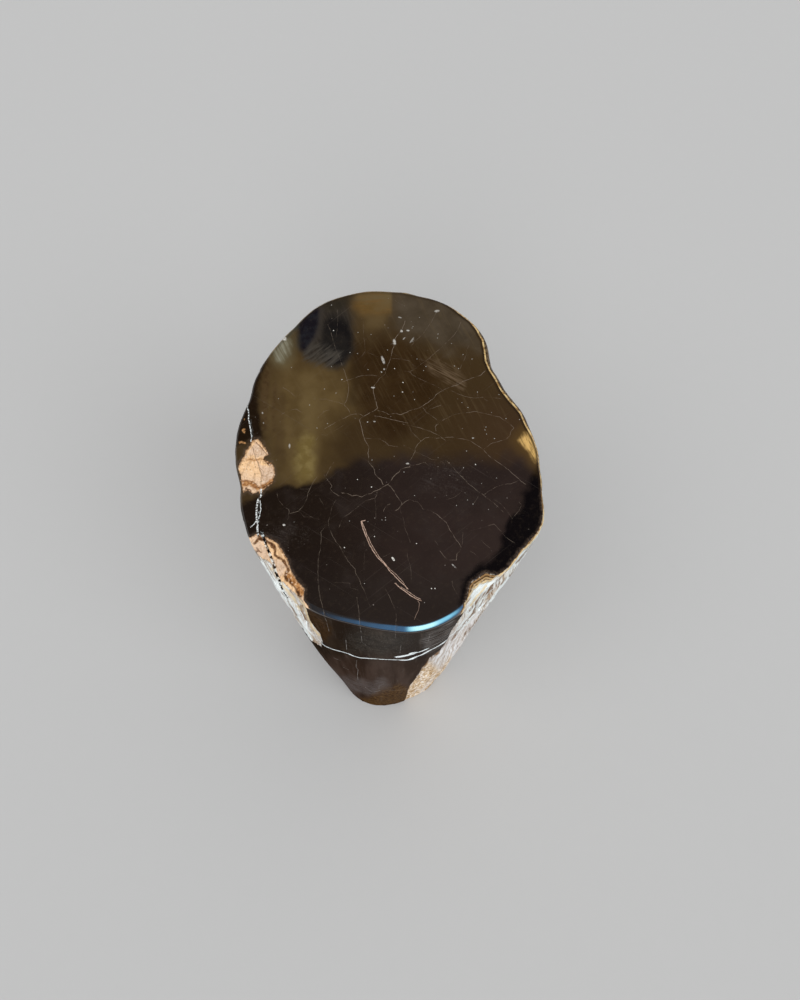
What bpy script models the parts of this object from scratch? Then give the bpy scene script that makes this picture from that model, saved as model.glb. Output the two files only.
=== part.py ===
"""Petrified wood stump, standing on its sawn base.

One solid: a length of trunk turned to stone, sawn off flat at both ends. The top is
a broad flat face with a rounded edge; the side leans in from the top's lobed outline
to a smaller oval base. Metres, +Z up. The origin is on the floor, under the middle of
the stump; -Y is the narrow front, where the side is polished.
"""
import math

import bmesh
import bpy

for old in list(bpy.data.objects):
    bpy.data.objects.remove(old, do_unlink=True)

# ---- driving dimensions -------------------------------------------------------------

HEIGHT = 0.475                 # floor to polished top
POLE = (-0.00166, -0.00231)    # the point that the outline's stations are measured from

# Radius of the top's outline in millimetres, every 10 degrees, anticlockwise from +X.
OUTLINE_MM = (
    160, 155, 151, 150, 155, 176, 194, 205, 209,     # right side, its waist, back right
    211, 213, 210, 197, 185, 177, 169, 160, 159,     # back, back left shoulder
    159, 159, 159, 167, 175, 180, 192, 197, 202,     # left side, front left
    207, 208, 201, 190, 190, 187, 185, 173, 164,     # front, front right, right corner
)
OUTLINE_EASE = 0.0008          # the polished edge's crown stands this far past the stations
OUTLINE_EASE_BACK = 0.0006     # and this much more towards the back

# Base outline: an egg, squarer than an ellipse, set forward of the top's middle.
BASE_SHIFT = (-0.0054, -0.0164)
BASE_HALF_WIDTH = 0.0945
BASE_FRONT = 0.150
BASE_BACK = 0.156
BASE_SQUARENESS = 2.3
LEAN = 1.19                    # 1 is a straight lean from top to base; more bulges the middle

# Radius of the rounded top edge: tight all round, broad along the polished front.
EDGE_RADIUS = 0.004
EDGE_RADIUS_FRONT = 0.009
EDGE_FRONT_SPREAD = 38.0       # degrees either side of -Y

FOOT_CHAMFER = 0.003           # broken edge round the base

# Ridges (+) and furrows (-) down the side:
# direction in degrees, half-width in degrees, height in mm, where it is greatest
# (0 at the top, 1 at the base) and how far it spreads up and down.
RIDGES = (
    (222, 13, 4.7, 0.75, 0.28),    # front left root
    (240, 10, -3.5, 1.00, 0.25),
    (262, 14, 1.0, 1.00, 0.30),
    (283, 9, -3.5, 1.00, 0.25),
    (305, 13, 6.1, 0.80, 0.28),    # front right root
    (344, 8, -4.0, 0.62, 0.30),
    (4, 10, 3.0, 0.60, 0.32),      # right side
    (28, 9, -5.5, 0.52, 0.30),     # furrow below the waist
    (52, 11, 4.0, 0.62, 0.32),
    (74, 7, -4.0, 0.60, 0.28),
    (96, 12, 3.5, 0.68, 0.34),     # back
    (120, 7, -5.0, 0.55, 0.30),
    (146, 12, 4.5, 0.64, 0.32),    # back left root
    (170, 7, -4.0, 0.58, 0.28),
    (190, 10, 2.5, 0.66, 0.28),    # left side
)

# Broken places along the top edge: (direction, how far in from the edge in mm), then
# how deep the break is at the edge, in metres. Their surface falls away outwards.
PATCH_LEFT = ((175, 0), (179, 14), (184, 26), (191, 40), (197, 38), (202, 24), (206, 0))
PATCH_LEFT_DEPTH = 0.003
BREAK_LEFT = ((218, 0), (222, 9), (226, 15), (230, 17), (235, 17), (239, 15),
              (243, 15), (246, 11), (249, 0))
BREAK_LEFT_DEPTH = 0.011
NOTCH_RIGHT = ((292, 0), (294, 5), (297, 10), (300, 11), (304, 9), (307, 4), (309, 0))
NOTCH_RIGHT_DEPTH = 0.013
CHIPPED_RIGHT = ((307, 0), (310, 3), (315, 4), (320, 4), (326, 5), (333, 4), (340, 0))
CHIPPED_RIGHT_DEPTH = 0.007
BREAKS = (
    (PATCH_LEFT, PATCH_LEFT_DEPTH),
    (BREAK_LEFT, BREAK_LEFT_DEPTH),
    (NOTCH_RIGHT, NOTCH_RIGHT_DEPTH),
    (CHIPPED_RIGHT, CHIPPED_RIGHT_DEPTH),
)

# Stations round the stump: (from, to, step) in degrees, closer along the broken edge.
STATION_SPANS = ((0, 172, 4.0), (172, 208, 3.0), (208, 250, 2.0), (250, 290, 4.0),
                 (290, 342, 2.0), (342, 360, 4.5))
TOP_INSETS = (0.012, 0.017, 0.023, 0.032, 0.044, 0.060)   # rings of the flat top, from the edge
EDGE_STEPS = 4                 # facets across the rounded edge
SIDE_RINGS = 21                # rings down the side


# ---- shape --------------------------------------------------------------------------

def bell(angle, centre, half_width):
    """1 at centre, falling off on both sides; angles in degrees, round the circle."""
    d = (angle - centre + 180.0) % 360.0 - 180.0
    return math.exp(-(d / half_width) ** 2)


def outline_radius(angle):
    """The top's outline, a smooth closed curve through its stations."""
    n = len(OUTLINE_MM)
    u = (angle % 360.0) / (360.0 / n)
    i = int(u)
    f = u - i
    a, b, c, d = (OUTLINE_MM[(i + k) % n] * 0.001 for k in (-1, 0, 1, 2))
    r = 0.5 * (2 * b + (c - a) * f + (2 * a - 5 * b + 4 * c - d) * f * f
               + (3 * b - 3 * c + d - a) * f ** 3)
    back = min(max(0.5 + 0.9 * math.sin(math.radians(angle)), 0.0), 1.0)
    return r + OUTLINE_EASE + OUTLINE_EASE_BACK * back


def base_radius(angle):
    """The egg-shaped base outline, from its own centre."""
    c, s = math.cos(math.radians(angle)), math.sin(math.radians(angle))
    along = BASE_FRONT if s < 0 else BASE_BACK
    n = BASE_SQUARENESS
    return (abs(c / BASE_HALF_WIDTH) ** n + abs(s / along) ** n) ** (-1.0 / n)


def side_point(angle, t, inset=0.0):
    """A point on the side, t = 0 at the top to 1 at the base, inset towards the middle."""
    c, s = math.cos(math.radians(angle)), math.sin(math.radians(angle))
    q = t ** LEAN
    r = outline_radius(angle)
    rb = base_radius(angle)
    ridge = sum(h * 0.001 * bell(angle, a, w) * math.exp(-((t - at) / spread) ** 2)
                for a, w, h, at, spread in RIDGES)
    x = (1 - q) * r * c + q * (BASE_SHIFT[0] + rb * c) + (ridge - inset) * c
    y = (1 - q) * r * s + q * (BASE_SHIFT[1] + rb * s) + (ridge - inset) * s
    return POLE[0] + x, POLE[1] + y, HEIGHT * (1 - t)


def edge_radius(angle):
    return EDGE_RADIUS + (EDGE_RADIUS_FRONT - EDGE_RADIUS) * bell(angle, 270.0, EDGE_FRONT_SPREAD)


def reach(stations, angle):
    """How far in from the edge a break reaches in this direction, in metres."""
    for (a0, w0), (a1, w1) in zip(stations, stations[1:]):
        if a0 <= angle <= a1:
            return 0.001 * (w0 + (w1 - w0) * (angle - a0) / (a1 - a0))
    return 0.0


def break_drop(angle, inset):
    """How far the surface has broken away below the top, this far in from the edge."""
    drop = 0.0
    for stations, depth in BREAKS:
        w = reach(stations, angle)
        if w > 0.0005 and inset < w:
            full = depth * min(1.0, w / 0.008)
            u = (w - inset) / w
            drop = max(drop, full * (1 - (1 - u) ** 2))
    return drop


def stations():
    out = []
    for start, end, step in STATION_SPANS:
        n = max(1, round((end - start) / step))
        out += [start + (end - start) * k / n for k in range(n)]
    return out


def rings():
    """Closed rings of points from the flat of the top, over the edge, down to the foot."""
    angles = stations()
    out = []
    for inset in reversed(TOP_INSETS):
        ring = []
        for a in angles:
            x, y, z = side_point(a, 0.0, inset)
            ring.append((x, y, HEIGHT - break_drop(a, inset)))
        out.append(ring)
    for k in range(EDGE_STEPS + 1):
        turn = math.radians(90.0 * (1 - k / EDGE_STEPS))
        ring = []
        for a in angles:
            rad = edge_radius(a)
            inset = rad * (1 - math.cos(turn))
            down = rad * (1 - math.sin(turn))
            x, y, z = side_point(a, down / HEIGHT, inset)
            # where the edge is broken the rounding is gone: the break's own slope is there
            drop = max(down, break_drop(a, inset * 0.999))
            ring.append((x, y, HEIGHT - drop))
        out.append(ring)
    foot = FOOT_CHAMFER / HEIGHT
    first = 0.040
    for k in range(SIDE_RINGS + 1):
        t = first + (1.0 - foot - first) * k / SIDE_RINGS
        out.append([side_point(a, t) for a in angles])
    out.append([side_point(a, 1.0, FOOT_CHAMFER) for a in angles])
    return out


def make_stump():
    bm = bmesh.new()
    loops = [[bm.verts.new(p) for p in ring] for ring in rings()]
    n = len(loops[0])
    for upper, lower in zip(loops, loops[1:]):
        for i in range(n):
            j = (i + 1) % n
            bm.faces.new((upper[i], lower[i], lower[j], upper[j]))
    bm.faces.new(loops[0])                       # flat middle of the top
    bm.faces.new(list(reversed(loops[-1])))      # sawn base
    bmesh.ops.recalc_face_normals(bm, faces=bm.faces)
    bmesh.ops.triangulate(bm, faces=bm.faces)
    mesh = bpy.data.meshes.new("petrified_wood_stump")
    bm.to_mesh(mesh)
    bm.free()
    mesh.shade_smooth()
    mesh.set_sharp_from_angle(angle=math.radians(35))
    return mesh


def polished_stone():
    mat = bpy.data.materials.new("petrified_wood")
    mat.use_nodes = True
    bsdf = mat.node_tree.nodes["Principled BSDF"]
    bsdf.inputs["Base Color"].default_value = (0.045, 0.030, 0.020, 1.0)
    bsdf.inputs["Roughness"].default_value = 0.18
    bsdf.inputs["Metallic"].default_value = 0.0
    return mat


stump = bpy.data.objects.new("petrified_wood_stump", make_stump())
stump.data.materials.append(polished_stone())
bpy.context.scene.collection.objects.link(stump)
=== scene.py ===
import math

import bpy
import numpy as np
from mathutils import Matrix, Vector
from mathutils.geometry import delaunay_2d_cdt


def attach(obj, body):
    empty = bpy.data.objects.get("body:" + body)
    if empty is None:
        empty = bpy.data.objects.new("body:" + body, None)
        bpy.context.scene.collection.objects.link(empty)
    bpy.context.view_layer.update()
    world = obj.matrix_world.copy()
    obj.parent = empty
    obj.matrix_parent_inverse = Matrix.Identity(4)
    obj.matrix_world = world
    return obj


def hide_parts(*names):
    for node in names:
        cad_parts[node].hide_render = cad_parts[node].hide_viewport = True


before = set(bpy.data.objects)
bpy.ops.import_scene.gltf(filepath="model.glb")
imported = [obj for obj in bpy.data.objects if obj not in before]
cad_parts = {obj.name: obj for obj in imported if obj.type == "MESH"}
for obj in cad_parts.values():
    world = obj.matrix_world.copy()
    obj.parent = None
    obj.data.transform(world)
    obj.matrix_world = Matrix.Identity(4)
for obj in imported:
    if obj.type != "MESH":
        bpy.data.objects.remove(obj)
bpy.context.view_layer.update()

MM = 0.001

# ---- camera -------------------------------------------------------------------------
CAM = np.array((0.01374, -0.44401, 1.175))
PITCH = math.radians(62.0)
FOCAL_PX = 778.0
CX, CY = 400.0, 500.0
SP, CP = math.sin(PITCH), math.cos(PITCH)


def project(p):
    """Points (n, 3) to pixels (n, 2)."""
    q = np.asarray(p, float) - CAM
    depth = q[:, 1] * CP - q[:, 2] * SP
    up = q[:, 1] * SP + q[:, 2] * CP
    return np.stack([CX + FOCAL_PX * q[:, 0] / depth, CY - FOCAL_PX * up / depth], 1)


def plan(px, z):
    """Pixels (n, 2) to x, y on the level plane z."""
    px = np.asarray(px, float)
    a = (px[:, 0] - CX) / FOCAL_PX
    b = (CY - px[:, 1]) / FOCAL_PX
    dy, dz = CP + b * SP, -SP + b * CP
    t = (z - CAM[2]) / dz
    return np.stack([CAM[0] + a * t, CAM[1] + dy * t], 1)


# ---- the stump's form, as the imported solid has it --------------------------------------
HEIGHT = 0.475
POLE = np.array((-0.00166, -0.00231))
OUTLINE_MM = np.array((
    160, 155, 151, 150, 155, 176, 194, 205, 209,
    211, 213, 210, 197, 185, 177, 169, 160, 159,
    159, 159, 159, 167, 175, 180, 192, 197, 202,
    207, 208, 201, 190, 190, 187, 185, 173, 164), float)
BASE_SHIFT = (-0.0054, -0.0164)
BASE_HALF_WIDTH, BASE_FRONT, BASE_BACK, BASE_SQUARENESS = 0.0945, 0.150, 0.156, 2.3
LEAN = 1.19
RIDGES = (
    (222, 13, 4.7, 0.75, 0.28), (240, 10, -3.5, 1.00, 0.25), (262, 14, 1.0, 1.00, 0.30),
    (283, 9, -3.5, 1.00, 0.25), (305, 13, 6.1, 0.80, 0.28), (344, 8, -4.0, 0.62, 0.30),
    (4, 10, 3.0, 0.60, 0.32), (28, 9, -5.5, 0.52, 0.30), (52, 11, 4.0, 0.62, 0.32),
    (74, 7, -4.0, 0.60, 0.28), (96, 12, 3.5, 0.68, 0.34), (120, 7, -5.0, 0.55, 0.30),
    (146, 12, 4.5, 0.64, 0.32), (170, 7, -4.0, 0.58, 0.28), (190, 10, 2.5, 0.66, 0.28))


def bell(az, centre, half_width):
    d = (az - centre + 180.0) % 360.0 - 180.0
    return np.exp(-(d / half_width) ** 2)


def smoothstep(x, lo, hi):
    t = np.clip((x - lo) / (hi - lo), 0.0, 1.0)
    return t * t * (3 - 2 * t)


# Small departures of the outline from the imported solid's stations, every 4 degrees.
EASE_MM = np.array((
    -1.5, -1.6, -1.5, -0.5, -0.4, -1.5, -2.4, -2.4, -1.5, -0.6, -1.6, -1.2, -0.4, 0.5, -0.4,
    -1.7, -2.3, -1.6, -1.3, -1.0, -1.2, 0.9, 0.2, 0.6, 0.4, -0.9, -2.1, -2.4, -2.1, -0.9,
    -1.1, -2.3, -1.2, -1.3, -1.6, -2.0, -1.8, -2.2, -1.7, -1.8, -1.6, -0.7, -0.6, 0.0, -0.1,
    -0.4, -0.3, -0.8, -1.1, -1.2, -1.2, 0.0, 0.1, -0.3, -0.3, 0.6, 2.0, 3.8, 4.0, 3.2,
    2.6, 2.0, 1.8, 1.7, 0.8, -0.4, -1.4, -1.5, -0.8, 1.0, 2.0, 2.8, 3.4, 3.3, 2.4,
    1.2, 0.3, 0.0, 0.0, 0.2, 0.6, 0.8, 0.5, 0.2, -1.5, -1.4, -0.4, -0.7, -0.3, -0.3, -1.5))
EASE_AZ = np.arange(len(EASE_MM)) * 4.0


def outline_radius(az):
    u = (az % 360.0) / 10.0
    i = np.floor(u).astype(int)
    f = u - i
    a, b, c, d = (OUTLINE_MM[(i + k) % 36] * MM for k in (-1, 0, 1, 2))
    r = 0.5 * (2 * b + (c - a) * f + (2 * a - 5 * b + 4 * c - d) * f * f
               + (3 * b - 3 * c + d - a) * f ** 3)
    back = np.clip(0.5 + 0.9 * np.sin(np.radians(az)), 0, 1)
    return r + 0.0008 + 0.0006 * back + np.interp(az % 360.0, EASE_AZ, EASE_MM) * MM


def side_xy(az, t, inset):
    """Plan position on the side, t = 0 at the top to 1 at the base."""
    c, s = np.cos(np.radians(az)), np.sin(np.radians(az))
    along = np.where(s < 0, BASE_FRONT, BASE_BACK)
    n = BASE_SQUARENESS
    rb = (np.abs(c / BASE_HALF_WIDTH) ** n + np.abs(s / along) ** n) ** (-1.0 / n)
    q = np.clip(t, 0, 1) ** LEAN
    r = outline_radius(az)
    ridge = sum(h * MM * bell(az, a, w) * np.exp(-((t - at) / spread) ** 2)
                for a, w, h, at, spread in RIDGES)
    x = (1 - q) * r * c + q * (BASE_SHIFT[0] + rb * c) + (ridge - inset) * c
    y = (1 - q) * r * s + q * (BASE_SHIFT[1] + rb * s) + (ridge - inset) * s
    return POLE[0] + x, POLE[1] + y


# The polished edge. Across it the surface turns from level to plumb. It is small and round,
# but for the front, where it is broad, with one long even slope.
EDGE_V = 0.012        # the surface coordinate V runs 0..EDGE_V over the edge, then down the side
SIDE_V = 0.466
FOOT_V = 0.004
END_V = EDGE_V + SIDE_V + FOOT_V
EDGE_AZ = np.arange(0, 361, 1.0)
EDGE_S = np.linspace(0, 1, 49)


def front_edge(az):
    """1 along the broad polished edge of the front, 0 elsewhere."""
    az = np.asarray(az, float) % 360.0
    return smoothstep(az, 232, 248) * (1 - smoothstep(az, 294, 303))


def edge_in(az):
    az = np.asarray(az, float) % 360.0
    return 0.0034 + front_edge(az) * (0.0034 - 0.0002 * smoothstep(az, 260, 279))


def edge_tables():
    inset = np.zeros((len(EDGE_AZ), len(EDGE_S)))
    down = np.zeros_like(inset)
    for i, az in enumerate(EDGE_AZ):
        front, wide = float(front_edge(az)), float(smoothstep(az, 257, 278))
        left = np.interp(EDGE_S, (0, 0.40, 0.48, 0.90, 1), (0, 27, 33, 46, 84))
        right = np.interp(EDGE_S, (0, 0.10, 0.88, 1), (0, 33, 46, 84))
        turn = np.radians((1 - front) * 90 * EDGE_S + front * ((1 - wide) * left + wide * right))
        run = np.concatenate([[0], np.cumsum(0.5 * (np.cos(turn[1:]) + np.cos(turn[:-1])))])
        fall = np.concatenate([[0], np.cumsum(0.5 * (np.sin(turn[1:]) + np.sin(turn[:-1])))])
        inset[i] = float(edge_in(az)) * (1 - run / run[-1])
        down[i] = float(edge_in(az)) * fall / run[-1]
    return inset, down


EDGE_INSET, EDGE_DOWN = edge_tables()


def edge_down(az):
    return np.interp(np.asarray(az, float) % 360.0, EDGE_AZ, EDGE_DOWN[:, -1])


def edge_at(table, az, s):
    u = az % 360.0
    i = np.minimum(u.astype(int), 359)
    f = u - i
    w = np.clip(s, 0, 1) * (len(EDGE_S) - 1)
    j = np.minimum(w.astype(int), len(EDGE_S) - 2)
    g = w - j
    return ((table[i, j] * (1 - g) + table[i, j + 1] * g) * (1 - f)
            + (table[i + 1, j] * (1 - g) + table[i + 1, j + 1] * g) * f)


def inner_radius(az):
    """Where the flat of the top ends, from the pole."""
    az = np.asarray(az, float)
    ridge = sum(h * MM * bell(az, a, w) * math.exp(-(at / spread) ** 2)
                for a, w, h, at, spread in RIDGES)
    return outline_radius(az) + ridge - edge_in(az)


# ---- broken places along the top edge ----------------------------------------------------
# Inner boundaries as seen from above, in pixels; each is closed outside the stone.
PATCH = ((251, 441), (256, 439), (259, 439.5), (262, 443), (265, 447), (268, 452), (269, 455),
         (265, 457), (264, 459), (268, 461), (272, 463), (274, 468), (275, 474), (274, 479),
         (272, 484), (267, 487), (263, 490), (261, 495), (258, 492), (253, 494), (248, 490),
         (243, 493), (240, 487), (239.5, 480), (239.5, 474), (237, 470), (237.5, 467), (241, 461),
         (244, 455), (246, 450), (250, 446))
LEFT_BREAK = ((257, 534), (261, 535.5), (267, 537), (273, 540), (278, 544), (282, 549.5),
              (285.5, 556), (289, 562), (291, 568), (293, 574), (295.5, 578), (300, 583),
              (304, 588.5), (304.5, 594), (303.5, 600), (306, 608), (306, 660), (180, 660),
              (180, 536), (240, 541), (250, 537))
RIGHT_BREAK = ((464, 612), (464, 605), (466, 601.4), (466.8, 595), (467.8, 590.6), (469, 586),
               (472, 581), (477, 578), (481, 575), (485, 573), (489, 573.5), (494, 574.5),
               (499.6, 574), (505, 571), (509, 566), (512, 561), (517, 556), (520, 550),
               (524, 546), (530, 540), (536, 534), (540, 529), (542, 523), (543, 517),
               (542.5, 505), (541.5, 495), (545, 488), (620, 488), (620, 700), (464, 700))
# Inside them, where the ledge ends and the pale fibrous stone falls away.
PALE_LEFT = ((250, 547), (256, 553), (259, 556.5), (265, 560), (270, 562), (274, 568), (277, 577),
             (281, 581), (285, 583), (291, 589), (297, 595), (301, 600), (304, 604), (307, 612),
             (307, 670), (180, 670), (180, 547))
PALE_RIGHT = ((463.5, 612), (466, 603), (470, 596), (473.3, 589.7), (479, 585), (486, 582),
              (491, 580.5), (496, 577.5), (500, 575.5), (505, 572), (510, 567), (515, 561),
              (520, 554), (526, 548), (533, 540.5), (538, 534), (542.5, 525), (544, 510),
              (545, 495), (620, 488), (620, 700), (463.5, 700))


def segments_distance(p, pts):
    """Distance from p (n, 2) to the open line pts (m, 2), and how far along it, 0 to 1."""
    best = np.full(len(p), 1e9)
    along = np.zeros(len(p))
    pts = np.asarray(pts, float)
    step = np.hypot(*(pts[1:] - pts[:-1]).T)
    total = max(step.sum(), 1e-12)
    run = 0.0
    for a, b, length in zip(pts[:-1], pts[1:], step):
        ab = b - a
        t = np.clip(((p - a) @ ab) / max(ab @ ab, 1e-18), 0, 1)
        d = np.hypot(*(p - a - t[:, None] * ab).T)
        closer = d < best
        best[closer] = d[closer]
        along[closer] = (run + t[closer] * length) / total
        run += length
    return best, along


def inside(p, pts):
    pts = np.asarray(pts, float)
    x, y = p[:, 0], p[:, 1]
    hit = np.zeros(len(p), bool)
    for (x0, y0), (x1, y1) in zip(pts, np.roll(pts, -1, 0)):
        if y0 != y1:
            cross = ((y0 > y) != (y1 > y)) & (x < (x1 - x0) * (y - y0) / (y1 - y0) + x0)
            hit ^= cross
    return hit


def signed(p, pts):
    """Signed distance to a closed outline, positive inside."""
    closed = np.vstack([pts, pts[:1]])
    d, _ = segments_distance(p, closed)
    return np.where(inside(p, pts), d, -d)


# ---- noise ------------------------------------------------------------------------------
def _lattice(ix, iy, iz, seed):
    h = (ix.astype(np.int64) * 374761393 + iy.astype(np.int64) * 668265263
         + iz.astype(np.int64) * 1440662683 + seed * 97911161) & 0xFFFFFFFF
    h = ((h ^ (h >> 13)) * 1274126177) & 0xFFFFFFFF
    h = h ^ (h >> 16)
    return h / 4294967295.0 * 2 - 1


def noise(p, seed=0):
    """Smooth noise, about -1 to 1, at points (n, 3)."""
    i = np.floor(p)
    f = p - i
    f = f * f * f * (f * (f * 6 - 15) + 10)
    i = i.astype(np.int64)
    out = np.zeros(len(p))
    for dx in (0, 1):
        wx = f[:, 0] if dx else 1 - f[:, 0]
        for dy in (0, 1):
            wy = f[:, 1] if dy else 1 - f[:, 1]
            for dz in (0, 1):
                wz = f[:, 2] if dz else 1 - f[:, 2]
                out += wx * wy * wz * _lattice(i[:, 0] + dx, i[:, 1] + dy, i[:, 2] + dz, seed)
    return out


def fbm(p, octaves=3, seed=0):
    out, amp, total = np.zeros(len(p)), 1.0, 0.0
    for k in range(octaves):
        out += amp * noise(p * 2.0 ** k + 17.3 * k, seed + 11 * k)
        total += amp
        amp *= 0.5
    return out / total


def flat3(xy, z=0.0):
    return np.column_stack([xy, np.full(len(xy), z)])


# ---- surface coordinates ------------------------------------------------------------------
# The whole surface but the base is laid out flat: the top as it is, the side as a wide
# border round it, stretched so that small shapes keep their proportions.
BORDER = 0.160
GAUGE = 1000.0        # laid-out units are millimetres on the top


def lay(az, v):
    rho = inner_radius(az) * np.exp(v / BORDER) * GAUGE
    return np.stack([rho * np.cos(np.radians(az)), rho * np.sin(np.radians(az))], 1)


def unlay(d):
    """Laid-out points to azimuth, V (negative on the flat top)."""
    az = np.degrees(np.arctan2(d[:, 1], d[:, 0])) % 360.0
    rho = np.hypot(d[:, 0], d[:, 1]) / GAUGE
    return az, BORDER * np.log(np.maximum(rho, 1e-6) / inner_radius(az))


def lay_scale(d):
    """How much larger the layout is than the stone at these points."""
    az, v = unlay(d)
    return np.where(v > 0, np.exp(v / BORDER) * inner_radius(az) / BORDER, 1.0)


def top_px(d):
    """Pixels of laid-out points, as if they lay in the plane of the top."""
    xy = d / GAUGE + POLE
    return project(flat3(xy, HEIGHT))


def broken(px):
    """How far the surface has broken away below the top, in metres, at plane pixels px;
    and the signed distance, in pixels, into the patch, the left break and the right break."""
    wob = 0.9 * fbm(flat3(px * 0.22), 2, 5)
    patch = signed(px, np.array(PATCH)) + 0.6 * wob
    left = signed(px, np.array(LEFT_BREAK)) + wob
    right = signed(px, np.array(RIGHT_BREAK)) + 0.8 * wob
    pale_l = np.clip(signed(px, np.array(PALE_LEFT)) + wob, 0, 10)
    pale_r = np.clip(signed(px, np.array(PALE_RIGHT)) + wob, 0, 9)
    rough = fbm(flat3(px * 0.16), 3, 21)
    a = smoothstep(patch, -0.2, 1.4) * (0.7 + 1.9 * smoothstep(patch, 0, 14) + 0.9 * rough)
    wl = np.clip(left, 0, 17) / 17
    stand = 0.30 + 0.70 * smoothstep(px[:, 1], 566, 594)
    b = smoothstep(left, -0.2, 1.2) * (1.0 + stand * (4.4 * (1 - (1 - wl) ** 2) + 1.15 * pale_l)
                                       + 1.4 * rough * smoothstep(left, 0, 5))
    c = smoothstep(right, -0.2, 1.0) * (1.1 + 0.30 * np.clip(right, 0, 10) + 1.15 * pale_r
                                        + 0.9 * rough * smoothstep(right, 0, 4))
    return np.maximum(np.maximum(a, b), c) * MM, patch, left, right


def pale_zone(px):
    """Pixels into the pale fibrous part of the left and the right break."""
    wob = 1.2 * fbm(flat3(px * 0.3), 2, 6)
    return signed(px, np.array(PALE_LEFT)) + wob, signed(px, np.array(PALE_RIGHT)) + wob


# Drop at the very edge, all round, so that the side starts below what is broken away.
DROP_AZ = np.arange(0, 360.5, 0.5)
_ex, _ey = side_xy(DROP_AZ, np.zeros_like(DROP_AZ), 0.0)
EDGE_DROP = broken(project(np.stack([_ex, _ey, np.full_like(_ex, HEIGHT)], 1)))[0]
EDGE_DROP[-1] = EDGE_DROP[0]


def foot_height(az):
    p = np.stack([np.cos(np.radians(az)) * 5, np.sin(np.radians(az)) * 5, 0 * az], 1)
    return (3.0 + 1.6 * fbm(p * 2.2, 3, 77)) * MM


def side_down(az, v):
    """How far below the top the side is at V."""
    start = np.maximum(edge_down(az), np.interp(az % 360.0, DROP_AZ, EDGE_DROP))
    f = (v - EDGE_V) / SIDE_V
    return start + f * (HEIGHT - foot_height(az) - start)


def surface(az, v, plain=False):
    """Positions and outward directions at azimuth, V >= 0."""
    az, v = np.asarray(az, float), np.asarray(v, float)
    s = np.clip(v / EDGE_V, 0, 1)
    inset = edge_at(EDGE_INSET, az, s)
    down = edge_at(EDGE_DOWN, az, s)
    lower = v > EDGE_V
    foot = v > EDGE_V + SIDE_V
    d_side = side_down(az, np.minimum(v, EDGE_V + SIDE_V)) if not plain else (
        edge_down(az) + (v - EDGE_V) / SIDE_V * (HEIGHT - 0.003 - edge_down(az)))
    dd = np.where(lower, d_side, down)
    f = np.clip((v - EDGE_V - SIDE_V) / FOOT_V, 0, 1)
    inset = np.where(lower, 0.0, inset) + np.where(foot, 0.0028 * f, 0.0)
    dd = np.where(foot, dd + (HEIGHT - dd) * np.sin(f * math.pi / 2), dd)
    x, y = side_xy(az, dd / HEIGHT, inset)
    z = HEIGHT - dd
    if not plain:
        px = project(np.stack([x, y, np.full_like(x, HEIGHT)], 1))
        drop = np.where(lower, 0.0, broken(px)[0])
        z = HEIGHT - np.maximum(dd, drop)
    turn = np.radians(np.where(lower, 90.0, 90.0 * s))
    c, sn = np.cos(np.radians(az)), np.sin(np.radians(az))
    out = np.stack([c * np.sin(turn), sn * np.sin(turn), np.cos(turn)], 1)
    return np.stack([x, y, z], 1), out


# ---- from a pixel to the side -----------------------------------------------------------
_HA, _HV = np.meshgrid(np.arange(90.0, 450.0, 1.0), np.arange(0.0, EDGE_V + SIDE_V, 0.004),
                       indexing="ij")
_HP = project(surface(_HA.ravel(), _HV.ravel(), plain=True)[0]).reshape(_HA.shape + (2,))
_HJ = (np.gradient(_HP[..., 0], axis=0) * np.gradient(_HP[..., 1], axis=1)
       - np.gradient(_HP[..., 1], axis=0) * np.gradient(_HP[..., 0], axis=1))
_FRONT = np.sign(_HJ) == np.sign(_HJ[180, 60])


def hit_side(px):
    """Azimuth and V on the side for pixels (n, 2) that show it."""
    out = []
    for u, v in px:
        d = np.hypot(_HP[..., 0] - u, _HP[..., 1] - v) + np.where(_FRONT, 0, 1e6)
        i, j = np.unravel_index(np.argmin(d), d.shape)
        q = np.array((_HA[i, j], _HV[i, j] / MM))
        for _ in range(12):
            e = 0.05
            probe = np.array((q, q + (e, 0), q + (0, e)))
            probe[:, 1] = np.clip(probe[:, 1], 0, (EDGE_V + SIDE_V) / MM)
            w = project(surface(probe[:, 0], probe[:, 1] * MM, plain=True)[0])
            r = np.array((u, v)) - w[0]
            jac = np.stack([(w[1] - w[0]) / e, (w[2] - w[0]) / e], 1)
            step = np.linalg.solve(jac.T @ jac + 0.02 * np.eye(2), jac.T @ r)
            q = q + np.clip(step, -4, 4)
            q[1] = min(max(q[1], 0.0), (EDGE_V + SIDE_V) / MM)
        out.append(q)
    out = np.array(out)
    return out[:, 0] % 360.0, out[:, 1] * MM


def place(px):
    """Pixels to laid-out points, on the top or on the side, whichever they show."""
    px = np.asarray(px, float)
    xy = plan(px, HEIGHT) - POLE
    az = np.degrees(np.arctan2(xy[:, 1], xy[:, 0])) % 360.0
    on_top = np.hypot(xy[:, 0], xy[:, 1]) <= inner_radius(az)
    d = xy * GAUGE
    if (~on_top).any():
        a, v = hit_side(px[~on_top])
        d[~on_top] = lay(a, v)
    return d


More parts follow.
